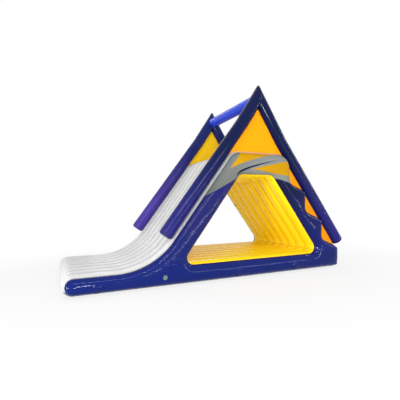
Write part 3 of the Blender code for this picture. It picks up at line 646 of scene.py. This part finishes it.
def paired(low, high):
    """Stations across a side panel: one at each point of either edge."""
    sides = [numpy.array(spaced(path)) for path in (low, high)]
    marks = [numpy.array(lengths(side)) / lengths(side)[-1] for side in sides]
    cuts = []
    for share in sorted(numpy.concatenate(marks)):
        if not cuts or share - cuts[-1] > 1e-4:
            cuts.append(share)
    columns = [numpy.interp(cuts, along, side[:, k]) for along, side in zip(marks, sides) for k in (0, 1)]
    return [((a, b), (c, d)) for a, b, c, d in zip(*columns)]


def reaches(points, path):
    """Distances from points of the side view to a path."""
    best = numpy.full(len(points), 9.0)
    for a, b in zip(path, path[1:]):
        a = numpy.array(a)
        line = numpy.array(b) - a
        share = numpy.clip((points - a) @ line / max(line @ line, 1e-12), 0, 1)
        best = numpy.minimum(best, numpy.linalg.norm(points - a - share[:, None] * line, axis=1))
    return best


def swell(points, edges):
    """How far air pushes a side out: round in a strip, and smooth where strips meet."""
    narrow = sum(1 / numpy.maximum(reaches(points, edge), 1e-5) for edge in edges)
    share = 4 / (narrow * FULL_CHORD)
    return SIDE_BULGE * numpy.sqrt(share / (1 + share**4) ** 0.25)


def ring_pivot(number):
    return Vector(JOINTS[f"anchor_ring_{number}_swing"]["pos_m"])


def patch_outward(number):
    """The direction that a welded anchor patch faces, by the height of its tilted disc."""
    low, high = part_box(f"anchor_patch_{number}")
    tilt = acos(min(1.0, (high.z - low.z) / PATCH_HEIGHT))
    return Vector((0, (-1 if number <= 3 else 1) * cos(tilt), -sin(tilt)))


def seats(side):
    """The planes that fittings lie on, on one side of the body, as (point, outward, radius)."""
    found = []
    for number in (1, 2, 3) if side < 0 else (4, 5, 6):
        outward = patch_outward(number)
        found.append((ring_pivot(number) - outward * PATCH_DEPTH, outward, PATCH_SEAT_RADIUS))
    if side < 0:
        turn = JOINTS["valve_cap_turn"]
        found.append((Vector(turn["pos_m"]), Vector(turn["axis"]), VALVE_SEAT_RADIUS))
    return found


def seated(point, push, fittings):
    """The cloth's push at a point of the side view, led to the back of any fitting there."""
    spot = at(point, 0)
    for centre, outward, radius in fittings:
        away = hypot(spot.x - centre.x, spot.z - centre.z)
        share = max(0.0, min(1.0, 1 - (away - radius) / SEAT_BLEND))
        if share > 0:
            level = abs(centre.y) - (spot.z - centre.z) * outward.z / abs(outward.y) - SEAM - 2 * GAP
            share = share * share * (3 - 2 * share)
            push += (level - push) * share
    return push


def side_panel(node, pairs, finish, edges):
    """A side panel on both sides of the body, with a weld band along either of its paths."""
    marks = lengths([blend(a, b, 0.5) for a, b in pairs])
    turns = [pi * min(max(j - 1, 0), SIDE_COLUMNS) / SIDE_COLUMNS for j in range(SIDE_COLUMNS + 3)]
    across = numpy.array([(1 - cos(turn)) / 2 for turn in turns])
    ends = numpy.array(pairs)
    points = ends[:, :1] + (ends[:, 1:] - ends[:, :1]) * across[None, :, None]
    shape = points.shape[:2]
    listed = points.reshape(-1, 2)
    out = swell(listed, edges).reshape(shape)
    free = numpy.minimum.reduce([reaches(listed, edge) for edge in edges]).reshape(shape)
    for side, word in ((-1, "near"), (1, "far")):
        seed = (sum(map(ord, node)) + side) % 41
        fittings = seats(side) if node == "base_side" else []

        def place(i, j):
            girth = dist(*pairs[i]) / 2 + 0.06
            flat = (marks[i], girth * turns[j])
            if j in (0, SIDE_COLUMNS + 2):
                push = max(0, out[i, j] - WELD_BAND)
                return at(points[i, j], side * (SEAM + push)), max(free[i, j] + push, WELD_EDGE), flat
            push = out[i, j] + WELD_BAND * exp(-out[i, j] / BAND_REACH)
            weld = max(free[i, j] + push - WELD_BAND, 0)
            if push > WELD_BAND:
                half_seed = seed + 5 * (turns[j] > pi / 2)
                push -= gathered(marks[i], half_seed, weld) * min(1, push / BAND_REACH)
                push -= UNEVENNESS * (noise.noise(Vector((*points[i, j], side)) * 2.3) + 0.3)
                push = seated(points[i, j], push, fittings)
            return at(points[i, j], side * (SEAM + push)), weld + WELD_EDGE, flat

        piece = skin(f"cloth_{word}_{node}", finish, len(pairs) - 1, SIDE_COLUMNS + 2, place, side > 0)
        piece.data.set_sharp_from_angle(angle=radians(55))
        widest = max(dist(a, b) for a, b in pairs)
        declare_stretched(piece, (marks[-1], widest * SIDE_GIRTH + 2 * WELD_BAND))
        stands_for(piece, f"{word}_{node}")


def declare_stretched(piece, flat):
    """Finds a flat rectangle that holds the area that a shaped panel was cut to; the result is not used."""
    mesh = bmesh.new()
    mesh.from_mesh(piece.data)
    area = sum(face.calc_area() for face in mesh.faces)
    mesh.free()
    fullest = 0.98
    share = area / (flat[0] * flat[1])
    if share > fullest:
        flat = (flat[0], flat[1] * share / fullest)


def lifted(stations, height):
    return [moved(point, normal, height) for point, normal in stations]


def side_edges(clear=0):
    """The two paths that each side panel lies between, and its finish."""
    groove = lifted(OUTER, -RIB_HEIGHT - clear)
    hole = lifted(INNER, -clear)
    out, ins = OUTER_SPANS, INNER_SPANS
    split = out[SWEEP][0] + round(SEAM_SHARE * (out[SWEEP][1] - out[SWEEP][0]))
    front = middle(ins[FRONT_FOOT])
    back = middle(ins[BACK_FOOT])
    heel = groove[out[LAST_CREST][1]]
    drop = raised(groove[split], -SEAM_DROP)
    low = run(groove, *out[NOSE_LOW])[::-1] + run(groove, *out[HEEL])[::-1]
    high = run(groove, out[NOSE_HIGH][0], split) + [drop] + run(hole, front, back) + [heel]
    start = meet((0, CAP_START_HEIGHT), (1, 0), groove[out[SWEEP][1]], SLIDE_SLOPE)
    slide = groove[out[SWEEP][1] : out[LIP][0]]
    rising = [point for point in slide if point[1] < start[1]]
    capped = [point for point in slide if point[1] > start[1]]
    front_in = [raised(drop, GAP), raised(hole[front], GAP)] + run(hole, ins[FRONT_TOP][1], front)[-2::-1]
    front_out = groove[split : out[SWEEP][1]] + rising + [start]
    cap_in = run(hole, ins[BACK_TOP][0], ins[FRONT_TOP][1])[::-1]
    cap_out = [start] + capped + run(groove, out[LIP][0], out[FIRST_VALLEY][1])
    back_in = run(hole, back + 1, ins[BACK_TOP][0])[::-1] + [raised(hole[back], GAP), raised(heel, GAP)]
    back_out = groove[out[FIRST_VALLEY][1] : out[LAST_CREST][1]] + [raised(heel, GAP)]
    return {
        "base_side": (low, high, NAVY),
        "slide_leg_side": (front_in, front_out, LEG_NAVY),
        "cap": (cap_in, cap_out, PALE),
        "stair_leg_side": (back_in, back_out, STEP_NAVY),
    }


def free_edges():
    """The welded edges all round the sides: along the top, along the bottom and round the opening."""
    groove = lifted(OUTER, -RIB_HEIGHT)
    low = middle(OUTER_SPANS[NOSE_HIGH])
    end = OUTER_SPANS[HEEL][0]
    hole = [point for point, _ in INNER]
    return [groove[low : end + 1], groove[end:] + groove[: low + 1], hole + hole[:1]]


def fold_at(stations, station, depth, width):
    """A fold across the ribs where a panel turns a corner of the outline."""
    marks = lengths([point for point, _ in stations])
    nearest = min(range(len(stations)), key=lambda k: dist(stations[k][0], station[0]))
    return (marks[nearest], depth, width)


def make_body():
    """The air body's panels: eleven across the width, and four on each side."""
    out, ins = OUTER_SPANS, INNER_SPANS
    ribbed("slide_deck", run(OUTER, out[NOSE_LOW][0], out[LIP][1]), WHITE)
    platform = run(OUTER, out[LIP][1], out[FIRST_VALLEY][1])
    valley = OUTER[middle(out[FIRST_VALLEY])]
    ribbed("platform_deck", platform, WHITE, folds=[fold_at(platform, valley, depth=0.55, width=0.05)])
    for k in range(3):
        crest = FIRST_CREST + 2 * k
        last = crest == LAST_CREST
        panel = run(OUTER, out[crest - 1][1], out[crest if last else crest + 1][1])
        valley = OUTER[middle(out[crest + 1])]
        folds = [] if last else [fold_at(panel, valley, depth=0.6, width=0.05)]
        ribbed(f"climbing_step_{k + 1}", panel, STEP_NAVY, folds=folds)
    ribbed("base_end", run(OUTER, out[LAST_CREST][1], out[HEEL][1]), NAVY)
    ribbed("base_bottom", OUTER[out[HEEL][1] :] + [OUTER[0]], NAVY)
    mids = [middle(ins[FRONT_FOOT]), middle(ins[BACK_FOOT])]
    for node, first, last in (
        ("opening_floor", mids[0], mids[1]),
        ("opening_back_wall", mids[1], ins[BACK_TOP][0]),
        ("opening_ceiling", ins[BACK_TOP][0], ins[FRONT_TOP][1]),
        ("opening_front_wall", ins[FRONT_TOP][1], mids[0]),
    ):
        panel = run(INNER, first, last)
        ends = [INNER[m] for m in mids if INNER[m] in (panel[0], panel[-1])]
        ribbed(node, panel, YELLOW, 0, [fold_at(panel, end, depth=0.75, width=0.06) for end in ends])
    edges = free_edges()
    for kind, (inner, outer, finish) in side_edges().items():
        side_panel(kind, paired(inner, outer), finish, edges)


def seat_offset():
    """How far a frame tube's axis stands off the rib crests when it lies on the outermost rib."""
    tries = 40
    offs = [FRAME_RADIUS * i / tries for i in range(-tries, tries + 1)]
    over = [off for off in offs if abs(FRAME_Y + off) < HALF_WIDTH]
    return max(sqrt(FRAME_RADIUS**2 - off**2) + lobe(FRAME_Y + off) for off in over) - RIB_HEIGHT + GAP


SEAT = seat_offset()
SLIDE_REST = moved(SLIDE_HEAD, SLIDE_NORMAL, SEAT)
STAIR_REST = moved((0, 0), STAIR_NORMAL, STAIR_REACH + SEAT)
FRONT_RUN = [meet(SLIDE_REST, SLIDE_SLOPE, (0, height), (1, 0)) for height in FRONT_HEIGHTS]
BACK_RUN = [meet(STAIR_REST, STAIR_SLOPE, (0, height), (1, 0)) for height in BACK_HEIGHTS]


def upright(direction):
    return Vector((direction[0], 0, direction[1]))


def leg_tube(node, path, other, side, finish):
    """A frame tube from its welded foot disc, over its knee, to the mitre weld at the apex."""
    foot, knee = path
    low = heading(foot, knee)
    high = heading(knee, APEX)
    twin = heading(other[1], APEX)
    bend = unit(low[0] + high[0], low[1] + high[1])
    cut = unit(*left_of((high[0] + twin[0], high[1] + twin[1])))
    if cut[0] * high[0] + cut[1] * high[1] < 0:
        cut = (-cut[0], -cut[1])
    straight = ceil(dist(foot, knee) / TUBE_SPACING)
    upper = ceil(dist(knee, APEX) / TUBE_SPACING)
    straight_row = 2 * FOOT_ROWS
    knee_row = straight_row + straight
    seed = sum(map(ord, node)) % 29

    def rim(centre, direction, angle, radius):
        across = upright(left_of(direction)) * (radius * cos(angle))
        return at(centre, side * FRAME_Y) + across + Vector((0, radius * sin(angle), 0))

    def sheared(centre, direction, normal, angle):
        """A point of the rim, moved along the tube into a plane through its centre."""
        spot = rim(centre, direction, angle, FRAME_RADIUS)
        plane = at(centre, side * FRAME_Y)
        ahead = upright(direction)
        return spot + ahead * ((plane - spot).dot(upright(normal)) / ahead.dot(upright(normal)))

    def place(i, j):
        angle = 2 * pi * j / TUBE_COLUMNS
        turn = angle * FRAME_RADIUS
        if i <= FOOT_ROWS:
            radius = (FRAME_RADIUS - FOOT_ROUNDING) * i / FOOT_ROWS
            centre = moved(foot, low, -FOOT_CROWN * (1 - (radius / FRAME_RADIUS) ** 2))
            return rim(centre, low, angle, radius), FRAME_RADIUS - radius, (radius - FRAME_RADIUS, turn)
        if i <= straight_row:
            part = pi / 2 * (i - FOOT_ROWS) / FOOT_ROWS
            up = FOOT_ROUNDING * (1 - cos(part))
            radius = FRAME_RADIUS - FOOT_ROUNDING * (1 - sin(part))
            spot = rim(moved(foot, low, up), low, angle, radius)
            return spot, WELD_EDGE + FOOT_ROUNDING - up, (up, turn)
        base = rim(moved(foot, low, FOOT_ROUNDING), low, angle, FRAME_RADIUS)
        knuckle = sheared(knee, low, bend, angle)
        tip = sheared(APEX, high, cut, angle)
        if i <= knee_row:
            root, ahead = knee, upright(low)
            spot = base.lerp(knuckle, (i - straight_row) / straight)
        else:
            root, ahead = APEX, upright(high)
            spot = knuckle.lerp(tip, (i - knee_row) / upper)
        to_foot = (spot - base).length
        to_end = min(to_foot, (tip - spot).length)
        offset = spot - at(root, side * FRAME_Y)
        inward = -(offset - ahead * offset.dot(ahead)).normalized()
        draw = abs(wavering(turn * 1.5, seed, to_end)) * 1.2
        draw += abs(wavering(angle * 0.3, seed + 3, (spot - knuckle).length)) * 0.4
        long_seam = FRAME_RADIUS * abs(remainder(angle - pi, 2 * pi))
        return spot + inward * draw, min(to_end, long_seam) + WELD_EDGE, (to_foot, turn)

    piece = skin("cloth_" + node, finish, knee_row + upper, TUBE_COLUMNS, place, closed=True)
    length = dist(foot, knee) + dist(knee, APEX) + 2 * FRAME_RADIUS
    declare_stretched(piece, (length, 2 * pi * FRAME_RADIUS))
    stands_for(piece, node)


def make_frames():
    """The legs of both frames, painted darker on the near side as shade and lighter on the far side as
    painted light.
    """
    for side, word, finish in ((-1, "near", NEAR_TUBE_SHADED_NAVY), (1, "far", FAR_TUBE_LIT_NAVY)):
        leg_tube(f"{word}_frame_front_leg", FRONT_RUN, BACK_RUN, side, finish)
        leg_tube(f"{word}_frame_back_leg", BACK_RUN, FRONT_RUN, side, finish)


def make_crossbar():
    """The crossbar, whose ends meet the frame tubes on a saddle line."""
    centre = raised(APEX, -CROSSBAR_DROP)
    lines = [heading(path[1], APEX) for path in (FRONT_RUN, BACK_RUN)]

    def half_length(point):
        offset = (point[0] - APEX[0], point[1] - APEX[1])
        line = lines[0] if offset[0] <= 0 else lines[1]
        away = offset[0] * line[1] - offset[1] * line[0]
        return FRAME_Y - sqrt(max(FRAME_RADIUS**2 - away**2, 0))

    def place(i, j):
        angle = 2 * pi * j / TUBE_COLUMNS
        outward = (cos(angle), sin(angle))
        reach = half_length(moved(centre, outward, CROSSBAR_RADIUS))
        across = reach * (2 * i / CROSSBAR_ROWS - 1)
        edge = reach - abs(across)
        radius = CROSSBAR_RADIUS - abs(wavering(angle * 0.25, 5 + (across > 0), edge))
        spot = at(moved(centre, outward, radius), across)
        return spot, min(edge + WELD_EDGE, 0.2), (across, angle * CROSSBAR_RADIUS)

    piece = skin("cloth_crossbar", ROYAL, CROSSBAR_ROWS, TUBE_COLUMNS, place, closed=True)
    declare_stretched(piece, (2 * FRAME_Y, 2 * pi * CROSSBAR_RADIUS))
    stands_for(piece, "crossbar")


def cut_in_squares(sheet, spacing):
    """Cuts an upright sheet across both ways, so that it can wave."""
    for axis in (0, 2):
        low = min(corner.co[axis] for corner in sheet.verts)
        high = max(corner.co[axis] for corner in sheet.verts)
        normal = Vector((axis == 0, 0, axis == 2))
        for i in range(1, ceil((high - low) / spacing)):
            plane = normal * (low + spacing * i)
            everything = sheet.verts[:] + sheet.edges[:] + sheet.faces[:]
            bmesh.ops.bisect_plane(sheet, geom=everything, plane_co=plane, plane_no=normal, dist=1e-5)


def filled(name, outlines, across, finish, spacing=None):
    """An upright cloth cut to outlines of the side view, and waved where a spacing is given."""
    sheet = bmesh.new()
    for outline in outlines:
        points = [p for k, p in enumerate(outline) if dist(p, outline[k - 1]) > 1e-5]
        corners = [sheet.verts.new(at(p, across)) for p in points]
        for a, b in zip(corners, corners[1:] + corners[:1]):
            sheet.edges.new((a, b))
    bmesh.ops.triangle_fill(sheet, edges=sheet.edges, use_beauty=True)
    seam = sheet.verts.layers.float.new("seam")
    flat = sheet.loops.layers.uv.new("cloth")
    away = [AWAY_FROM_WELDS] * len(sheet.verts)
    if spacing:
        cut_in_squares(sheet, spacing)
        spots = numpy.array([(corner.co.x - NOSE_X, corner.co.z) for corner in sheet.verts])
        away = reaches(spots, outlines[0] + outlines[0][:1])
    for corner, distance in zip(sheet.verts, away):
        corner[seam] = distance
        spot = corner.co
        wave = noise.noise(Vector((spot.x * 1.3, spot.z * 1.3, across))) + 0.3 * noise.noise(spot * 6)
        corner.co.y += UNEVENNESS * wave * min(distance / 0.1, 1) if spacing else 0
    for face in sheet.faces:
        for loop in face.loops:
            loop[flat].uv = (loop.vert.co.x, loop.vert.co.z)
    bmesh.ops.recalc_face_normals(sheet, faces=sheet.faces)
    piece = finished(name, sheet, finish)
    piece.modifiers["Wall"].offset = 0
    declare_stretched(piece, smallest_rectangle(outlines[0]))
    return piece


def make_infills():
    """The cloths in each frame: one over the platform and one in each step valley."""
    level = lobe(FRAME_Y) - RIB_HEIGHT + GAP
    reach = FRAME_RADIUS + GAP
    lower = lifted(OUTER, level)
    crests = [max(range(*OUTER_SPANS[k]), key=lambda i: stair_height(lower[i])) for k in CRESTS]

    def inner_line(a, b, side):
        direction = heading(a, b)
        return (moved(a, left_of(direction), side * reach), direction)

    def foot(point, line):
        return meet(*line, point, left_of(line[1]))

    front_low = inner_line(*FRONT_RUN, -1)
    front_high = inner_line(FRONT_RUN[1], APEX, -1)
    back_low = inner_line(*BACK_RUN, 1)
    back_high = inner_line(BACK_RUN[1], APEX, 1)
    start = OUTER_SPANS[LIP][0]
    upper = [foot(lower[crests[0]], back_low), meet(*back_high, *back_low), meet(*front_high, *back_high)]
    upper += [meet(*front_low, *front_high), foot(lower[start], front_low)]
    outlines = [lower[start : crests[0] + 1] + upper]
    for a, b in zip(crests, crests[1:]):
        outlines.append(lower[a : b + 1] + [foot(lower[b], back_low), foot(lower[a], back_low)])
    for side, word, finish in ((-1, "near", AMBER), (1, "far", LIT_FAR_AMBER)):
        for k, outline in enumerate(outlines):
            spacing = SPACING if k else 2 * SPACING
            piece = filled(f"cloth_{word}_infill_{k}", [outline], side * FRAME_Y, finish, spacing)
            stands_for(piece, f"{word}_infill")


def smallest_rectangle(outline):
    """The sides of the smallest rectangle that an outline is cut from."""
    tries = 36
    turns = [pi / 2 * k / tries for k in range(tries)]
    tilted = [numpy.array(outline) @ [[cos(t), -sin(t)], [sin(t), cos(t)]] for t in turns]
    return min([numpy.ptp(points, axis=0) for points in tilted], key=numpy.prod).tolist()


def air_holes():
    """Outlines of the webs' round holes: one below each end of the opening, and one in each leg."""
    foot, heel, stair_head, slide_head = [(u, z) for u, z, _ in opening_corners()]
    front = blend(foot, slide_head, 0.5)
    back = blend(heel, stair_head, 0.5)
    centres = {
        "base_side": [(foot[0], foot[1] / 2), (heel[0], heel[1] / 2)],
        "slide_leg_side": [moved(front, SLIDE_NORMAL, (SLIDE_THICKNESS - RIB_HEIGHT) / 2)],
        "stair_leg_side": [moved(back, STAIR_NORMAL, STAIR_THICKNESS / 4)],
    }
    sides = 24
    spokes = [(cos(2 * pi * k / sides), sin(2 * pi * k / sides)) for k in range(sides)]
    return {
        word: [[moved(centre, spoke, AIR_HOLE_RADIUS) for spoke in spokes] for centre in places]
        for word, places in centres.items()
    }


def make_webs():
    """The rib webs inside the air body, each of four cloths, with holes that let the air pass."""
    edges = side_edges(WEB_CLEARANCE)
    holes = air_holes()
    for k in range(1, RIB_COUNT):
        for word, (low, high, _) in edges.items():
            outlines = [low + high[::-1], *holes.get(word, [])]
            piece = filled(f"cloth_rib_web_{k}_{word}", outlines, k * RIB_PITCH - HALF_WIDTH, WEB)
            stands_for(piece, f"rib_web_{k}")


def turned(name, profile, place, finish, steps=64, bevel=0.0006):
    """A piece turned round its own Z axis from a profile of (radius, height)."""
    mesh = bmesh.new()
    verts = [mesh.verts.new((r, 0, h)) for r, h in profile]
    edges = [mesh.edges.new((a, b)) for a, b in zip(verts, verts[1:])]
    if profile[0][0] > 0:
        edges.append(mesh.edges.new((verts[-1], verts[0])))
    axis = {"cent": (0, 0, 0), "axis": (0, 0, 1), "angle": 2 * pi}
    bmesh.ops.spin(mesh, geom=verts + edges, **axis, steps=steps, use_merge=True)
    bmesh.ops.remove_doubles(mesh, verts=mesh.verts, dist=1e-6)
    bmesh.ops.recalc_face_normals(mesh, faces=mesh.faces)
    mesh.transform(place)
    piece = finished(name, mesh, finish, wall=0)
    edge = piece.modifiers.new("Edge", "BEVEL")
    edge.width = bevel
    edge.segments = 2
    edge.limit_method = "ANGLE"
    piece.data.set_sharp_from_angle(angle=radians(35))
    return piece


def facing(point, outward):
    """The place of a piece at a point, with its Z axis pointing outward."""
    z = Vector(outward).normalized()
    y = Vector((0, 1, 0)) if abs(z.y) < 0.9 else Vector((1, 0, 0))
    x = y.cross(z).normalized()
    return Matrix.Translation(point) @ Matrix((x, z.cross(x), z)).transposed().to_4x4()


def flange(radius):
    """The outer end of a flange's profile, with its eased edge."""
    return [(radius - FLANGE_EDGE, FLANGE_TOP), (radius, FLANGE_TOP - FLANGE_EDGE), (radius, GAP)]


def make_inflation_valve():
    """The inflation valve's body, the cap over its rim, and the finish of its stem."""
    turn = JOINTS["valve_cap_turn"]
    place = facing(turn["pos_m"], turn["axis"])
    bore, neck, depth = 0.022, 0.030, 0.030
    stem_hole, floor = 0.014, 0.003
    rim = FLANGE_TOP + 0.010
    body = [(bore, rim), (neck, rim), (neck, FLANGE_TOP), *flange(0.048), (neck, GAP), (neck, -depth)]
    body += [(stem_hole, -depth), (stem_hole, floor - depth), (bore, floor - depth)]
    inside, outside, dish = 0.031, 0.035, 0.026
    lid, foot = rim + GAP, FLANGE_TOP + GAP
    top = lid + 0.003
    cap = [(0, lid), (inside, lid), (inside, foot), (outside, foot), (outside, lid), (outside - 0.003, top)]
    cap += [(dish, top), (dish - 0.001, top - 0.001), (0, top - 0.001)]
    stands_for(turned("inflation_valve_body", body, place, PLASTIC), "valve_body")
    stands_for(turned("inflation_valve_cap", cap, place, PLASTIC), "valve_cap", body="valve_cap")
    stem = frame["nodes"]["valve_stem"].data
    stem.materials.clear()
    stem.materials.append(PLASTIC)


def make_relief_valve():
    """The relief valve's flanged body, and the poppet that lifts off it."""
    axis = Vector(JOINTS["relief_poppet_lift"]["axis"])
    points = [corner.co for corner in frame["nodes"]["relief_body"].data.vertices]
    centre = sum(points, Vector()) / len(points)
    reach = max((point - centre).dot(axis) for point in points)
    place = facing(centre + axis * (reach - FLANGE_TOP), axis)
    bore, neck, depth = 0.014, 0.022, 0.020
    body = [(bore, FLANGE_TOP), *flange(0.034), (neck, GAP), (neck, -depth), (bore, -depth)]
    lid, stem = 0.018, 0.004
    seat = FLANGE_TOP + GAP
    top, end = seat + 0.003, -0.024
    poppet = [(0, top), (lid - 0.002, top), (lid, seat), (stem, seat), (stem, end), (0, end)]
    stands_for(turned("relief_valve_body", body, place, BLACK), "relief_body")
    stands_for(turned("relief_valve_poppet", poppet, place, BLACK), "relief_poppet", body="relief_poppet")


def make_ring(number):
    """A D-shaped wire ring with its bar in the sleeve of a patch."""
    half = RING_WIDTH / 2
    drop = RING_REACH - half
    wire = bmesh.new()
    start = Matrix.Translation((-half, 0, -drop))
    bmesh.ops.create_circle(wire, segments=WIRE_SIDES, radius=RING_WIRE, matrix=start)
    circle = wire.verts[:] + wire.edges[:]
    bmesh.ops.spin(wire, geom=circle, cent=(0, 0, -drop), axis=(0, 1, 0), angle=-pi, steps=24)
    ends = [edge for edge in wire.edges if edge.is_boundary]
    legs = bmesh.ops.extrude_edge_only(wire, edges=ends)["geom"]
    corners = [item for item in legs if isinstance(item, bmesh.types.BMVert)]
    bmesh.ops.translate(wire, verts=corners, vec=(0, 0, drop + RING_WIRE))
    bmesh.ops.holes_fill(wire, edges=wire.edges, sides=0)
    bar = {"radius1": RING_WIRE, "radius2": RING_WIRE, "depth": RING_WIDTH, "matrix": LYING}
    bmesh.ops.create_cone(wire, cap_ends=True, segments=WIRE_SIDES, **bar)
    bmesh.ops.recalc_face_normals(wire, faces=wire.faces)
    wire.transform(Matrix.Translation(ring_pivot(number)))
    piece = finished(f"mooring_ring_{number}", wire, STEEL, wall=0)
    piece.data.set_sharp_from_angle(angle=radians(50))
    stands_for(piece, f"anchor_ring_{number}", body=f"anchor_ring_{number}")


def make_patches():
    """Welded anchor patches, each with a sleeve and the ring that runs in it."""
    top = -SLEEVE_BORE
    eased = [(PATCH_RADIUS, top - 0.0012), (PATCH_RADIUS - 0.001, top)]
    disc_profile = [(0, -PATCH_DEPTH), (PATCH_RADIUS, -PATCH_DEPTH), *eased, (0, top)]
    inner = [(SLEEVE_BORE, -SLEEVE_REACH), (SLEEVE_RADIUS, -SLEEVE_REACH)]
    sleeve_profile = inner + [(SLEEVE_RADIUS, SLEEVE_REACH), (SLEEVE_BORE, SLEEVE_REACH)]
    for number in range(1, 7):
        pivot = ring_pivot(number)
        place = facing(pivot, patch_outward(number))
        lie = Matrix.Translation(pivot) @ LYING
        disc = turned(f"anchor_patch_disc_{number}", disc_profile, place, NAVY, bevel=0.0003)
        sleeve = turned(f"anchor_patch_sleeve_{number}", sleeve_profile, lie, NAVY, steps=32, bevel=0.0003)
        stands_for(disc, f"anchor_patch_{number}")
        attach(sleeve, "float")
        make_ring(number)


def seen_clearly(finish):
    """1 for the camera, and for what is mirrored or seen through."""
    rays = ("Is Camera Ray", "Is Glossy Ray", "Is Transmission Ray")
    seen, mirrored, through = [finish.node("LightPath", {}, (), ray) for ray in rays]
    return seen.larger(mirrored).larger(through)


def floor_finish():
    """Pale and matt under the object, where its shadow falls, and white further out."""
    finish = Finish(bpy.data.materials.new("pale_floor"))
    matt = finish.node("BsdfDiffuse", {}, {"Color": (0.80, 0.80, 0.80)})
    glow = finish.node("Emission", {}, ())
    half_size = (1 / 5.5, 1 / 4.0, 0)
    apart = finish.node("VectorMath", {"operation": "MULTIPLY"}, (finish.object_point(), half_size))
    distance = finish.node("VectorMath", {"operation": "LENGTH"}, (apart,), "Value")
    fade = {"Value": distance, "From Min": 0.6, "From Max": 1.6, "To Min": 0.8, "To Max": 1.0}
    share = finish.node("MapRange", {"interpolation_type": "SMOOTHSTEP"}, fade)
    return finish.show("MixShader", (seen_clearly(finish) * share, matt, glow))


def lamp(name, place, size, power):
    light = bpy.data.lights.new(name, "AREA")
    light.shape = "RECTANGLE"
    light.size, light.size_y = size
    light.energy = power
    thing = bpy.data.objects.new(name, light)
    SCENE.collection.objects.link(thing)
    target = Vector((0.3, 0, 1.4))
    thing.location = place
    thing.rotation_euler = (target - Vector(place)).to_track_quat("-Z", "Y").to_euler()


def make_stage():
    """A plain pale floor, a white surrounding and soft lamps."""
    floor_mesh = bmesh.new()
    under = Matrix.Translation((0, 0, -0.003))
    bmesh.ops.create_grid(floor_mesh, x_segments=1, y_segments=1, size=120, matrix=under)
    floor = finished("floor", floor_mesh, floor_finish(), wall=0)
    SCENE.world = bpy.data.worlds.new("studio")
    sky = Finish(SCENE.world, "OutputWorld")
    light = {"Value": seen_clearly(sky), "To Min": 0.6, "To Max": 1.0}
    level = sky.node("MapRange", {}, light)
    sky.show("Background", {"Color": (1, 1, 1), "Strength": level})
    lamp("key", (-6.5, -7.0, 8.5), (0.9, 0.9), 40)
    lamp("overhead", (-2.0, -8.0, 5.6), (9.0, 0.20), 290)
    lamp("nose", (-9.5, -5.0, 1.2), (2.5, 1.5), 450)
    lamp("front", (-3.5, -10.0, 0.6), (2.5, 0.8), 380)
    lamp("strip", (4.0, -10.0, 0.35), (9.0, 0.10), 150)
    lamp("side", (9.5, -3.0, 5.5), (0.12, 4.0), 100)
    lamp("rear", (-1.0, 7.0, 7.5), (0.25, 9.0), 60)


def make_camera():
    """The photograph's viewpoint, at eye level beside the nose."""
    yaw, pitch, roll = radians(24.17), radians(0.74), radians(-0.734)
    eye = (NOSE_X - 0.099, -7.662, 1.682)
    ahead = Vector((sin(yaw) * cos(pitch), cos(yaw) * cos(pitch), sin(pitch)))
    right = Vector((cos(yaw), -sin(yaw), 0))
    turn = Matrix((right, right.cross(ahead), -ahead)).transposed() @ Matrix.Rotation(roll, 3, "Z")
    data = bpy.data.cameras.new("camera")
    data.lens = 29.13
    camera = bpy.data.objects.new("camera", data)
    SCENE.collection.objects.link(camera)
    camera.matrix_world = Matrix.Translation(eye) @ turn.to_4x4()
    SCENE.camera = camera


SCENE.view_settings.view_transform = "Standard"
make_camera()
make_stage()
make_body()
make_frames()
make_crossbar()
make_infills()
make_webs()
make_inflation_valve()
make_relief_valve()
make_patches()
bpy.context.view_layer.update()
